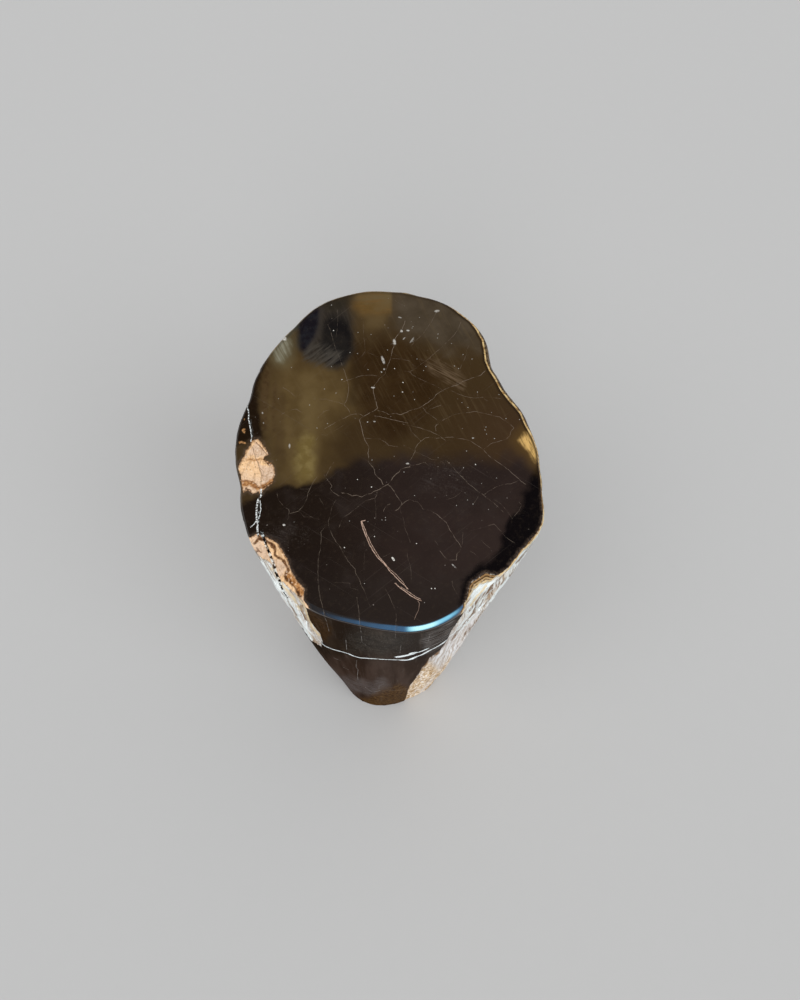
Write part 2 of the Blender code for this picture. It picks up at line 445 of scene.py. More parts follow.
# ---- cracks -------------------------------------------------------------------------------
# (strength, half-width in mm, pixels along the crack)
CRACKS = (
    # the long crack from the back edge to the middle, and on to the front
    (0.60, 0.50, ((405, 321), (404, 325), (401, 331), (396, 337), (394, 341), (394, 346),
                  (392.5, 350), (391, 356), (390, 360), (388, 365), (386, 370), (385, 374),
                  (380, 378), (376, 383), (373, 387.5), (373.5, 392), (374.5, 397), (376, 402),
                  (377, 406), (378, 408), (375, 410), (370, 413), (365, 415.5), (361, 418),
                  (359.5, 420), (360.5, 424), (362, 430), (363, 435), (365, 440), (368, 445),
                  (369, 448), (368, 453), (368.5, 458), (368, 461), (371, 465), (374, 469),
                  (375, 474), (378, 477.5), (381, 480), (383, 484.5))),
    (0.60, 0.50, ((343, 493), (348, 493.5), (352, 496), (357, 495), (361, 497), (366, 494.5),
                  (371, 493.5), (374, 491.5), (379, 489.5), (384, 486.5), (388, 484),
                  (391.5, 480), (393, 477), (396, 474), (399, 472), (401, 469), (405, 468),
                  (409, 467))),
    (0.45, 0.45, ((406, 464), (412, 465.5), (418, 464.5), (425, 462), (428, 465))),
    (0.55, 0.50, ((388, 484.5), (391, 487), (394, 491), (397, 496), (400, 500.5),
                  (402.5, 504), (400, 507), (398, 509.5), (396.5, 510))),
    (0.50, 0.45, ((402.5, 504), (405, 502), (408, 500), (410, 499.5), (414, 501), (417, 501.5),
                  (420, 504.5), (423, 509), (428, 510), (432, 511), (436, 514), (440, 517),
                  (443, 520), (446, 522), (449, 528), (452, 533), (455, 538), (459, 543),
                  (461.5, 547.5), (460, 551), (457, 554), (456.5, 560))),
    (0.40, 0.45, ((440, 551), (444, 556), (448, 560), (451, 560), (456, 560))),
    (0.40, 0.45, ((452, 581), (453, 587), (456, 592), (459, 598))),
    (0.30, 0.45, ((463, 533), (462, 545))),
    (0.35, 0.45, ((494, 524), (488, 526), (482, 527.5), (476, 529), (470, 531))),
    (0.30, 0.45, ((400, 508), (401, 513), (403, 518), (404, 523), (405, 529), (408, 536),
                  (410, 541))),
    (0.30, 0.45, ((407, 552), (408, 558), (410, 566), (411, 571), (411.5, 580))),
    (0.50, 0.40, ((390, 504), (387, 505.5), (385, 508), (383.5, 511))),
    # from the right-hand waist to the middle
    (0.60, 0.50, ((485, 371), (480, 375.5), (472, 378), (464, 381), (457, 385), (450, 387),
                  (444, 390), (438, 393), (436, 395), (434, 398), (430, 401), (426, 403.5),
                  (422, 406.5), (418, 408.5), (413, 409.5), (409, 411), (405, 413),
                  (401, 414.5), (398, 414), (393, 413.5), (389, 414.5), (386, 413),
                  (382, 411.5), (378, 410.5))),
    (0.55, 0.45, ((376, 416), (382, 417), (388, 418.5), (394, 420), (401, 421.5), (408, 423))),
    (0.50, 0.45, ((403, 424), (409, 425.5), (416, 427), (422, 428.5), (428, 430.5), (434, 433),
                  (440, 436), (445, 440))),
    (0.40, 0.45, ((365, 438), (370, 438.5), (375, 438.5), (380, 439), (385, 442), (389, 445.5),
                  (393, 446), (397, 446.5))),
    (0.40, 0.45, ((409.5, 427), (411, 431), (415, 435), (419, 439), (421, 441))),
    (0.50, 0.45, ((411, 459), (413, 455), (415, 452), (415.5, 448), (418, 444), (421, 441),
                  (425, 438), (430, 437), (436, 438.5), (440, 438), (446, 437.5), (452, 437),
                  (457, 438), (463, 439), (468, 440), (472, 442), (476, 444.5), (480, 447),
                  (484, 450), (487, 454), (490, 457), (495, 460), (500, 463.5), (505, 467),
                  (509, 470), (513, 474), (518, 478), (521, 481), (525, 484))),
    (0.32, 0.45, ((405, 446), (409, 448), (415, 451.5), (421, 454), (427, 457), (432, 459.5),
                  (438, 460), (444, 463))),
    (0.40, 0.45, ((423, 408), (426, 412), (431, 415), (436, 419), (439, 421.5), (435, 426),
                  (436, 431))),
    (0.45, 0.45, ((435, 427), (438, 424), (440, 422), (445, 419), (450, 416.5), (456, 414),
                  (462, 413), (468, 412.5), (475, 411.5), (482, 413), (488, 414), (495, 416),
                  (500, 417), (504, 420), (510, 424), (514, 428), (511, 431), (510, 436),
                  (507, 438.5), (503, 440), (497, 442), (492, 443), (488, 446), (484, 449))),
    (0.40, 0.45, ((452, 391), (458, 394), (464, 396), (470, 397.5), (476, 398), (484, 397),
                  (490, 397), (500, 398.5))),
    (0.30, 0.40, ((477, 392), (478, 396))),
    (0.30, 0.40, ((482, 397), (486, 400))),
    (0.45, 0.45, ((430, 409), (440, 405.5))),
    # back right
    (0.35, 0.45, ((437, 311), (434.5, 316), (431.5, 322), (427, 328), (423, 334), (418, 338.5),
                  (415, 341), (411, 346))),
    (0.38, 0.45, ((461, 322), (458, 329), (454, 335), (450, 339), (446, 343), (441.5, 347.5),
                  (436, 352), (433, 355), (427, 360), (421, 364), (415, 369), (411, 371))),
    (0.35, 0.45, ((469, 345), (467, 349), (466.5, 354), (464, 360), (461, 366), (460, 369))),
    (0.38, 0.45, ((391, 358.5), (397, 358.5), (404, 359.5), (409, 361), (413, 365), (416, 367))),
    (0.36, 0.45, ((404, 371), (409, 371.5), (413, 375), (420, 379), (427, 382.5), (434, 385),
                  (440, 388), (443, 391))),
    (0.32, 0.40, ((420, 359.5), (425, 361))),
    (0.30, 0.40, ((396, 301), (408, 308))),
    # back left
    (0.42, 0.45, ((328, 325), (331, 332), (333, 341), (336, 350), (339, 356), (341, 362),
                  (344, 370), (346, 376), (348, 382), (349, 390), (348, 394), (347, 400),
                  (344, 405), (348, 409), (350, 413))),
    (0.45, 0.45, ((380, 376.5), (372, 375), (362, 375.5), (354, 378), (348, 380), (343, 382))),
    (0.50, 0.45, ((363, 416), (360, 414), (354, 414), (350, 415), (345, 418), (341, 419.5),
                  (336, 422), (330, 425.5), (325, 428.5))),
    (0.40, 0.45, ((345, 424), (338, 429), (331, 432), (327, 435), (320, 435), (316, 440))),
    (0.36, 0.45, ((314, 399), (320, 399), (326, 399), (333, 401), (339, 402.5), (343, 404))),
    (0.38, 0.45, ((318.5, 417), (322, 413.5), (326, 410.5), (329, 410))),
    (0.40, 0.45, ((282, 414), (286, 411.5), (291, 410), (296, 409), (299, 411), (303, 413))),
    (0.38, 0.45, ((284, 388), (289, 391), (293, 394.5), (295.5, 397))),
    (0.34, 0.40, ((363.5, 321), (363.5, 335), (364.5, 342), (365, 352), (362, 356))),
    (0.34, 0.40, ((368, 352.5), (378, 357))),
    (0.30, 0.40, ((367, 363), (364, 367))),
    (0.32, 0.40, ((337.5, 310), (338, 320), (337, 330), (336, 337))),
    # left of the middle
    (0.45, 0.45, ((317, 477), (314, 481), (311, 486), (308, 493), (307, 499), (303, 506),
                  (299, 511), (295, 512), (290, 513.5))),
    (0.40, 0.45, ((277, 493), (278, 499), (281, 503), (285, 507), (289, 509.5), (289, 513),
                  (288.5, 518), (286, 522), (284, 525))),
    (0.28, 0.45, ((301, 489), (309, 489))),
    (0.36, 0.45, ((300, 512), (304, 517), (311, 517), (318, 519))),
    (0.45, 0.45, ((324, 475), (327, 479), (330, 483), (332, 486), (330, 489), (334, 493),
                  (339, 496))),
    (0.36, 0.45, ((326, 476), (330, 468), (334, 462))),
    (0.30, 0.45, ((320, 499), (323, 504))),
    (0.32, 0.45, ((336, 500), (332, 507), (330, 517), (328, 522), (329, 527), (332, 535),
                  (337, 543), (344, 551))),
    (0.42, 0.45, ((377, 492), (376.5, 496), (375, 498), (370, 499.5), (365, 501), (361, 504),
                  (357, 507.5), (352, 511.5), (347, 515), (343, 518), (341, 523),
                  (339, 527.5))),
    (0.40, 0.45, ((324, 528), (321, 532), (321, 540), (320, 550), (318, 560), (318, 567),
                  (318, 580), (319, 588), (320, 597), (322, 604), (324, 612))),
    (0.30, 0.45, ((328, 525), (335, 541), (340, 547))),
    (0.42, 0.45, ((340, 547), (344, 554), (348, 561), (352, 566), (355, 569), (356, 574),
                  (359, 579), (361, 584), (364, 590))),
    (0.25, 0.45, ((364, 590), (370, 606))),
    (0.28, 0.45, ((375, 500), (376, 510), (376, 520), (374, 530))),
    (0.22, 0.45, ((364, 540), (364.5, 555), (364, 570), (364, 580))),
    (0.26, 0.45, ((335, 582.5), (350, 583), (350, 588), (358, 590))),
    # right of the middle
    (0.45, 0.45, ((447, 461), (452, 466), (457, 472), (463, 478), (468, 483), (474, 488),
                  (479, 492), (485, 496), (491, 501), (495, 504), (499, 508), (503, 511.5))),
    (0.34, 0.45, ((493, 499), (500, 503), (507, 511), (512, 518))),
    (0.34, 0.45, ((464, 468), (460, 472), (457, 474))),
    (0.34, 0.45, ((480, 492), (478, 497), (474, 503))),
    (0.38, 0.45, ((485, 494), (490, 490.5), (496, 487), (503, 484.5), (512, 483.5),
                  (518, 480.5))),
    (0.36, 0.45, ((512, 519), (515, 515), (519, 511), (520.5, 508), (521.5, 505), (519, 502))),
    (0.40, 0.45, ((494, 524), (498, 528), (502, 532.5), (505, 536.5), (509, 539.5),
                  (514, 542.5))),
    (0.30, 0.40, ((482, 541), (486, 545), (490, 548))),
    (0.30, 0.40, ((470, 551), (474, 553), (478, 557))),
    (0.30, 0.40, ((487, 472), (491, 477), (495, 481))),
    (0.30, 0.40, ((462, 491), (455, 497), (446, 500))),
    (0.30, 0.40, ((435, 541), (438, 545))),
    (0.30, 0.40, ((391, 553), (383, 557))),
    # down the polished front
    (0.50, 0.36, ((324, 612), (326, 620), (328, 627), (329, 631))),
    (0.50, 0.36, ((357, 598), (358, 605), (359, 613), (359.5, 620), (360, 626), (361, 632),
                  (361.5, 638), (362, 642), (366, 645))),
    (0.42, 0.36, ((386, 590), (389, 596), (392, 603), (395, 609), (396, 615), (396, 622),
                  (396, 630), (395.5, 638))),
    (0.62, 0.42, ((346, 640), (346.5, 645), (347, 650))),
    (0.62, 0.42, ((356.5, 661), (356, 667), (358, 670), (357.5, 676), (358, 680))),
    (0.50, 0.36, ((430, 634), (428, 641.6))),
    (0.45, 0.36, ((401, 645), (400, 653))),
    (0.80, 0.80, ((334, 658), (339, 660))),
    (0.80, 0.80, ((343, 667), (347, 669))),
    # a painted highlight low on the front: a pale stroke and the streaks up from it, drawn as pale crack lines
    (0.55, 0.80, ((365, 687), (369, 690), (373, 692), (378, 691), (381, 690))),
    (0.40, 0.60, ((379, 690), (379, 686), (385, 683))),
    (0.55, 0.60, ((410, 688), (400, 690), (390, 690))),
)
# Cracks filled with white mineral.
WHITE_CRACKS = (
    (0.70, 0.80, ((248, 405), (248.5, 411), (248.5, 418), (249.5, 425), (250.5, 430),
                  (251.5, 436), (251, 441))),
    (0.95, 1.15, ((261, 489), (261, 496), (258, 500), (256.5, 508), (256, 515), (257, 520),
                  (257.5, 528), (258, 535))),
    (0.70, 0.60, ((260, 500), (261, 510), (259, 518))),
    (0.70, 0.60, ((256, 521), (254, 524), (251, 527))),
    (0.60, 0.60, ((262, 536), (264, 540))),
    (0.90, 0.95, ((290, 600), (293.5, 604), (300, 615), (306, 628), (312, 635), (319, 641))),
    (1.00, 1.90, ((319, 641), (325, 646), (333, 649.5), (341, 651.5), (348, 653.5), (353, 656),
                  (360, 658), (368, 658.5))),
    (0.80, 1.70, ((366, 658.4), (375, 659), (385, 659.7), (395, 660), (404, 660.2))),
    (1.00, 3.00, ((402, 660.3), (406, 660.4), (411, 659.6), (414, 658))),
    (1.00, 2.60, ((411, 659.2), (416, 657), (422, 655), (429, 651), (436, 647.5), (443, 643.5))),
    (1.00, 2.60, ((441, 644.6), (449, 638.5), (455, 634), (462, 628), (470, 620), (478, 612),
                  (485, 605))),
    (1.00, 3.40, ((398, 657.2), (404, 656.2), (409, 655), (413, 654))),
    (0.80, 2.40, ((410, 653.6), (414, 652.6), (419, 652.4), (426, 649.5))),
)
# Brown seams in the pale pockets.
SEAMS = (
    (0.80, 0.60, ((252.7, 446.6), (254, 452), (256, 459), (258, 462), (259, 466), (260.5, 471),
                  (261, 476.4), (260.5, 482), (261, 488))),
    (0.55, 0.50, ((259, 466), (263, 470), (262, 477))),
    (0.95, 0.75, ((240.5, 480.3), (246, 480), (252, 480.6), (256, 483.5), (259, 487), (261, 490))),
    (0.90, 0.80, ((256.5, 442.5), (260.5, 446), (264, 450.5), (266.8, 454.5))),
)
# The dark open crack through the left break.
OPEN_CRACKS = (
    (1.00, 1.70, ((262, 534), (265, 541.5), (270, 554.7), (272.6, 561.6), (276, 572.5),
                  (279, 579.4), (285, 593))),
    (0.80, 0.60, ((250, 420), (251.5, 430), (252, 437))),
    (0.70, 0.55, ((259.5, 502), (258, 512), (258.5, 522))),
)
# Two long scratches in the polish, pinkish tan: strength, half-width in mm, pixels along them.
SCRATCHES = (
    (1.00, 0.62, ((365, 520.5), (361, 521), (362.2, 527), (364.5, 533), (367, 539), (370, 545.5),
                  (373.5, 551.5), (377.5, 557), (382, 561.5), (386, 566))),
    (0.80, 0.50, ((361.8, 521.5), (364.0, 527), (366.4, 533), (369.1, 539), (371.9, 545), (375.3, 551),
                  (379, 556.5), (383.2, 561.5), (387, 566))),
    (0.95, 0.55, ((386, 565.5), (388.5, 569.5), (392, 573), (396, 577.5), (400, 581.5),
                  (404, 585), (407, 588))),
    (0.60, 0.45, ((387, 566), (391, 570), (395, 573.5), (399, 577.5), (403, 582), (405, 586))),
    (0.95, 0.62, ((396, 584), (400, 588), (405, 591), (410, 595), (416, 599), (421, 600.5))),
    (0.75, 0.45, ((401, 587), (406, 590), (411, 593.2), (416, 597), (420.5, 599))),
    (0.40, 0.45, ((418, 601), (419.5, 604), (418.5, 610), (416, 615), (414.5, 619))),
)
# Chips and specks: x, y, length, width in pixels, turn in degrees, brightness.
CHIPS = (
    (394.5, 342, 9, 3.6, 80, 0.55), (383, 360, 13, 3.4, 74, 0.50), (384, 369, 3.4, 2.0, 80, 0.50),
    (381.5, 372, 2.6, 1.8, 60, 0.45), (400, 317.5, 5, 2.0, 20, 0.45), (401.5, 331, 4, 3, 60, 0.6),
    (412, 340, 11, 1.8, -60, 0.30), (404, 338.5, 5, 1.8, -50, 0.35), (408, 330.5, 4, 2.4, 10, 0.55),
    (437, 311, 6.5, 3.6, -10, 0.42), (373, 387.5, 5, 2.0, 5, 0.65), (454, 566, 8, 1.7, 45, 0.5),
    (393.2, 559, 6.0, 2.4, 55, 1.5), (289.5, 446, 7, 2.2, 88, 0.42), (262.5, 413, 3.4, 2, 80, 0.35),
    (263.5, 423, 2.6, 1.6, 80, 0.3), (284, 338.5, 4.6, 2.4, 50, 0.75), (473, 438, 3, 2.0, 0, 0.42),
    (246.8, 461.8, 2.4, 2.0, 0, 0.0), (258.4, 371.6, 4, 2.4, 60, 0.5),
    (407.5, 463.5, 4, 2, 0, 0.6), (374.5, 421.5, 3, 2, 0, 0.45), (284, 525, 3.6, 2.8, 30, 0.9),
)
SPECKS = (
    (333.5, 330.5), (291.5, 367.5), (331.5, 366.5), (342, 379.5), (331.5, 305), (358, 332.5),
    (371, 334.5), (350, 352.5), (357.5, 353.5), (387.5, 350), (394.5, 368.5), (368, 369.5),
    (403, 382.5), (417, 359), (426, 366.5), (423.5, 370.5), (419.5, 317.5), (413, 326.5),
    (412, 328), (438, 334), (437.5, 338), (451.5, 343.5), (463, 354.5), (454.5, 366),
    (458.5, 368.5), (472, 359), (477.5, 392), (499, 394.5), (468, 407.5), (462, 402.5),
    (402.5, 392), (413, 392), (414.5, 399.5), (394, 396), (367.5, 422), (357.5, 479.5),
    (371.5, 487), (372, 460), (404, 472), (491.5, 412.5), (506, 418.5), (519.5, 419.5),
    (486, 427), (485, 430), (486.5, 434), (494.5, 438.5), (475.5, 464.5), (463.5, 467.5),
    (466.5, 451), (496.5, 478), (481.5, 483.5), (278.5, 398.5), (324.5, 389), (309.5, 405),
    (327.5, 423.5), (317, 428), (336, 393), (349.5, 521), (374.5, 536.5), (344.5, 547.5),
    (416.5, 543.5), (414.5, 495.5), (435, 497.5), (382, 520), (385.5, 520), (385.5, 517.5),
    (368, 521.5), (364.5, 583.5), (431.5, 588.5), (435, 588.5), (424.5, 602.5), (294, 522),
    (456.5, 505.5), (467.5, 500), (473, 504), (488.5, 509.5))
BRIGHT_SPECKS = {(333.5, 330.5), (342, 379.5), (403, 382.5), (402.5, 392), (371.5, 487),
                 (394.5, 368.5), (357.5, 479.5), (416.5, 543.5), (344.5, 547.5), (431.5, 588.5),
                 (435, 588.5), (374.5, 536.5), (367.5, 422), (475.5, 464.5)}

rng = np.random.default_rng(41)


def resample(pts, step):
    pts = np.asarray(pts, float)
    seg = np.hypot(*(pts[1:] - pts[:-1]).T)
    keep = np.concatenate([[True], seg > 1e-6])
    pts = pts[keep]
    s = np.concatenate([[0], np.cumsum(np.hypot(*(pts[1:] - pts[:-1]).T))])
    n = max(2, int(round(s[-1] / step)) + 1)
    t = np.linspace(0, s[-1], n)
    return np.stack([np.interp(t, s, pts[:, 0]), np.interp(t, s, pts[:, 1])], 1)


def tangents(p):
    g = np.gradient(p, axis=0)
    return g / np.maximum(np.hypot(g[:, 0], g[:, 1]), 1e-9)[:, None]


class Ribbon:
    """One crack: a line in the layout with a half-width, and the kind of mark it makes."""

    def __init__(self, kind, strength, half, d, taper=True):
        self.kind, self.strength, self.half = kind, strength, half
        scale = lay_scale(d)
        step = 1.5 * float(np.median(scale))
        d = resample(d, step)
        t = tangents(d)
        normal = np.stack([-t[:, 1], t[:, 0]], 1)
        scale = lay_scale(d)
        wander = fbm(flat3(d * 0.35 / scale[:, None]), 2, 9)
        ends = np.minimum(np.arange(len(d)), np.arange(len(d))[::-1])
        d = d + normal * (wander * 0.45 * scale * np.clip(ends / 2, 0, 1))[:, None]
        self.d, self.normal, self.scale = d, normal, scale
        self.lo, self.hi = d.min(0), d.max(0)

    def rows(self):
        w = (self.half * self.scale)[:, None] * self.normal
        return self.d, self.d + w, self.d - w


def unseen_cracks():
    """Cracks down and across the sides that the picture doesn't show."""
    out = []
    for k in range(26):
        az = [rng.uniform(-18, 196) % 360.0]
        v = [rng.uniform(0.02, 0.30)]
        down = rng.random() < 0.65
        length = rng.uniform(0.06, 0.20) if down else rng.uniform(0.03, 0.10)
        heading = (rng.uniform(-0.25, 0.25) if down else rng.uniform(-0.3, 0.3) + math.pi / 2)
        step = 0.006
        for _ in range(int(length / step)):
            heading += rng.normal(0, 0.24)
            az.append(az[-1] + math.degrees(step * math.sin(heading) / 0.15))
            v.append(v[-1] + step * abs(math.cos(heading)))
            if v[-1] > EDGE_V + SIDE_V - 0.01:
                break
        if len(az) > 4:
            out.append(("hair", rng.uniform(0.45, 0.8), rng.uniform(0.45, 0.7),
                        lay(np.array(az) % 360.0, np.array(v))))
    # the pale ring crack of the front goes on round the back
    az = np.arange(-22.0, 216.0, 2.0)
    p = np.stack([np.cos(np.radians(az)) * 3, np.sin(np.radians(az)) * 3, 0 * az], 1)
    v = 0.150 + 0.05 * np.sin(np.radians(az) * 0.5) + 0.022 * fbm(p, 3, 3)
    for a, b, s in ((0, 42, 0.8), (44, 78, 0.6), (84, 119, 0.85)):
        out.append(("white", s, 0.8, lay(az[a:b] % 360.0, v[a:b])))
    return out


ribbons = []
for strength, half, px in CRACKS:
    ribbons.append(Ribbon("hair", strength, half, place(px)))
for strength, half, px in WHITE_CRACKS:
    ribbons.append(Ribbon("white", strength, half, place(px)))
for strength, half, px in OPEN_CRACKS:
    ribbons.append(Ribbon("open", strength, half, place(px)))
for strength, half, px in SCRATCHES:
    ribbons.append(Ribbon("scratch", strength, half, place(px)))
for strength, half, px in SEAMS:
    ribbons.append(Ribbon("seam", strength, half, place(px)))
for kind, strength, half, d in unseen_cracks():
    ribbons.append(Ribbon(kind, strength, half, d))


def ribbon_field(d, kinds, margin=0.0):
    """Strength of the strongest mark of these kinds at laid-out points d."""
    out = np.zeros(len(d))
    scale = lay_scale(d)
    for r in ribbons:
        if r.kind not in kinds:
            continue
        pad = (r.half + margin + 0.5) * float(r.scale.max())
        near = np.flatnonzero(((d > r.lo - pad) & (d < r.hi + pad)).all(1))
        if len(near) == 0:
            continue
        dist, _ = segments_distance(d[near], r.d)
        k = r.strength * np.clip(1 - (dist / scale[near]) / (r.half + margin), 0, 1)
        out[near] = np.maximum(out[near], k)
    return out


def chip_shapes():
    """Centre, half-length, half-width (layout units), direction and brightness of each speck."""
    rows = []
    for x, y, length, width, turn, glow in CHIPS:
        rows.append((x, y, length / 2, width / 2, math.radians(turn), glow))
    for x, y in SPECKS:
        bright = (x, y) in BRIGHT_SPECKS
        r = 0.78 if bright else 0.62
        rows.append((x, y, r * rng.uniform(0.9, 1.25), r * rng.uniform(0.7, 0.95),
                     rng.uniform(0, math.pi), 0.95 if bright else 0.50))
    rows = np.array(rows)
    centre = place(rows[:, :2])
    px_mm = 1.0 / np.hypot(*(place(rows[:, :2] + (1, 0)) - centre).T)
    return rows, centre, px_mm


chips, chip_centre, chip_px = chip_shapes()


def chip_field(d):
    out = np.zeros(len(d))
    for (x, y, a, b, turn, glow), c, k in zip(chips, chip_centre, chip_px):
        near = np.flatnonzero(np.hypot(*(d - c).T) < (a + 1) / k * 1.6)
        if len(near) == 0:
            continue
        q = (d[near] - c) * k
        u = q[:, 0] * math.cos(turn) - q[:, 1] * math.sin(turn)
        w = q[:, 0] * math.sin(turn) + q[:, 1] * math.cos(turn)
        e = np.hypot(u / a, w / b)
        out[near] = np.maximum(out[near], glow * np.clip((1.0 - e) / 0.45, 0, 1))
    return out


# ---- where the side is fibrous skin and where it is polished --------------------------------
LEFT_EDGE_PX = ((303, 598), (304.5, 603), (306.5, 609.5), (309.5, 620.5), (314, 627),
                (319, 633), (321.5, 640), (320.5, 647))
RIGHT_EDGE_PX = ((465, 603.5), (459.3, 619.3), (451.4, 631.1), (445.5, 642), (439.5, 650.9),
                 (427.7, 659.8), (421.7, 668.7), (414.8, 680.6), (408.9, 687.5), (405.9, 698.3))


def edge_line(px):
    az, v = hit_side(np.array(px, float))
    order = np.argsort(v)
    return v[order], az[order]


LEFT_V, LEFT_AZ = edge_line(LEFT_EDGE_PX)
RIGHT_V, RIGHT_AZ = edge_line(RIGHT_EDGE_PX)
LEFT_V = np.append(LEFT_V, LEFT_V[-1] + 0.035)    # below it the polish goes round the corner
LEFT_AZ = np.append(LEFT_AZ, 214.0)

# Unseen panels of skin between polished ones: centre and half-width in degrees.
SKIN_PANELS = ((352, 32), (88, 17), (166, 20))


def grain(az, z):
    a = np.radians(az)
    return np.stack([0.15 * np.cos(a), 0.15 * np.sin(a), z], 1)


def skin_distance(az, v, z):
    """Millimetres into the fibrous skin; negative on the polished panels."""
    g = grain(az, z)
    wob = 7.0 * fbm(g * np.array((22, 22, 9.0)), 3, 31) + 2.0 * fbm(g * np.array((90, 90, 40.0)), 2, 32)
    mm = 2.7
    left = (np.interp(v, LEFT_V, LEFT_AZ) - az) * mm
    left = np.minimum(left, (az - 213.0) * mm + wob)
    right = (az - np.interp(v, RIGHT_V, RIGHT_AZ)) * mm
    right = np.where(az > 270, right, -60.0)
    left = np.where((az > 190) & (az < 270), left, -60.0)
    seen = np.maximum(left, right) + 0.22 * wob
    out = seen
    for centre, half in SKIN_PANELS:
        d = np.abs((az - centre + 180.0) % 360.0 - 180.0)
        width = half * (1 + 0.25 * fbm(g * np.array((3.0, 3.0, 7.0)), 2, 33))
        out = np.maximum(out, (width - d) * mm + 1.9 * wob)
    return out


# ---- points of the mesh ---------------------------------------------------------------------
points = []
for r in ribbons:
    points.append(None)   # filled below, with their edges


def top_grid(step):
    """Even points over the flat of the top."""
    rows = []
    h = step * math.sqrt(3) / 2
    k = 0
    y = -230.0
    while y < 230.0:
        x = np.arange(-180.0 + (step / 2 if k % 2 else 0), 180.0, step)
        rows.append(np.stack([x, np.full_like(x, y)], 1))
        y += h
        k += 1
    p = np.vstack(rows)
    az, v = unlay(p)
    gap = inner_radius(az) * GAUGE - np.hypot(p[:, 0], p[:, 1])
    return p[gap > step * 0.55]


def side_grid():
    """Rows down the side, closer where there are fibres in view."""
    rows = []
    spans = ((212.0, 246.0, 0.50, 3.1), (246.0, 291.0, 0.85, 3.5), (291.0, 346.0, 0.50, 3.1),
             (-14.0, 212.0, 1.32, 4.3))
    for a0, a1, da, dv in spans:
        n = int(round((a1 - a0) / da))
        m = int(round(SIDE_V / MM / dv))
        for j in range(1, m):
            off = 0.5 if j % 2 else 0.0
            az = a0 + (np.arange(n) + off + 0.25) * (a1 - a0) / n
            v = EDGE_V + SIDE_V * (j / m) + np.zeros(n)
            az = az + rng.uniform(-0.12, 0.12, n) * da
            v = v + rng.uniform(-0.14, 0.14, n) * dv * MM
            rows.append(lay(az % 360.0, v))
        edge_rows = np.linspace(0, 1, 9)
        for j, s in enumerate(edge_rows):
            off = 0.5 if j % 2 else 0.0
            m2 = int(round((a1 - a0) / max(da, 0.7)))
            az = a0 + (np.arange(m2) + off + 0.25) * (a1 - a0) / m2
            rows.append(lay(az % 360.0, np.full(m2, EDGE_V * s)))
    return np.vstack(rows)


def rim_rings():
    """Closed rings at the start of the foot and at the floor."""
    az = np.arange(0.0, 360.0, 1.0)
    return (lay(az, np.full(len(az), EDGE_V + SIDE_V)),
            lay(az, np.full(len(az), EDGE_V + SIDE_V + FOOT_V * 0.5)),
            lay(az, np.full(len(az), END_V)))


background = np.vstack([top_grid(2.8), side_grid()])

# Finer points inside the broken places, across their edges and along the left rim.
fine = top_grid(0.95)
fpx = top_px(fine)
_, f_patch, f_left, f_right = broken(fpx)
near_break = np.maximum(np.maximum(f_patch, f_left), f_right)
left_rim = (fpx[:, 0] < 256 - 0.1 * np.abs(fpx[:, 1] - 470)) & (fpx[:, 1] > 410)
fine = fine[(near_break > -2.2) | (left_rim & (fpx[:, 1] < 545))]
bpx = top_px(background)
_, b_patch, b_left, b_right = broken(bpx)
az_b, v_b = unlay(background)
on_break = (v_b < 0) & (np.maximum(np.maximum(b_patch, b_left), b_right) > -2.6)
on_break |= ((v_b < 0) & (bpx[:, 0] < 256.5 - 0.1 * np.abs(bpx[:, 1] - 470)) & (bpx[:, 1] > 410)
             & (bpx[:, 1] < 545))
background = np.vstack([background[~on_break], fine])

# Nothing of the background stands in a crack or a chip.
near = ribbon_field(background, ("hair", "white", "open", "scratch", "seam"), 0.6) > 0
for (x, y, a, b, turn, glow), c, k in zip(chips, chip_centre, chip_px):
    near |= np.hypot(*(background - c).T) < (a / k * 1.25 + 0.25)
background = background[~near]

verts, edges = [], []


def add(p):
    start = len(verts)
    verts.extend(map(tuple, p))
    return np.arange(start, start + len(p))


for r in ribbons:
    for row in r.rows():
        az_r, v_r = unlay(row)
        ok = v_r < EDGE_V + SIDE_V - 0.002
        row = row[ok]
        if len(row) > 1:
            ids = add(row)
            edges.extend(zip(ids[:-1], ids[1:]))
for (x, y, a, b, turn, glow), c, k in zip(chips, chip_centre, chip_px):
    add(c[None])
    for f in (0.55, 1.0):
        n = 6 if a < 2 else 12
        w = np.arange(n) * 2 * math.pi / n + (0.3 if f < 1 else 0)
        u, q = a * f * np.cos(w), b * f * np.sin(w)
        ring = np.stack([u * math.cos(turn) + q * math.sin(turn),
                         -u * math.sin(turn) + q * math.cos(turn)], 1) / k
        add(c + ring)
add(background)
for ring in rim_rings():
    ids = add(ring)
    edges.extend(zip(ids, np.roll(ids, -1)))
last_ring = len(ids)

coords, _, faces, _, _, _ = delaunay_2d_cdt(
    [Vector((float(x), float(y))) for x, y in verts],
    [(int(a), int(b)) for a, b in edges], [], 0, 0.02, False)
D = np.array([(c.x, c.y) for c in coords])
F = np.array(faces)
cz, cv = unlay(D[F].mean(1))
F = F[cv < END_V + 1e-5]
used = np.unique(F)
remap = np.full(len(D), -1)
remap[used] = np.arange(len(used))
D, F = D[used], remap[F]
# all faces look up
a, b, c = D[F[:, 0]], D[F[:, 1]], D[F[:, 2]]
flip = (b[:, 0] - a[:, 0]) * (c[:, 1] - a[:, 1]) - (b[:, 1] - a[:, 1]) * (c[:, 0] - a[:, 0]) < 0
F[flip] = F[flip][:, ::-1]

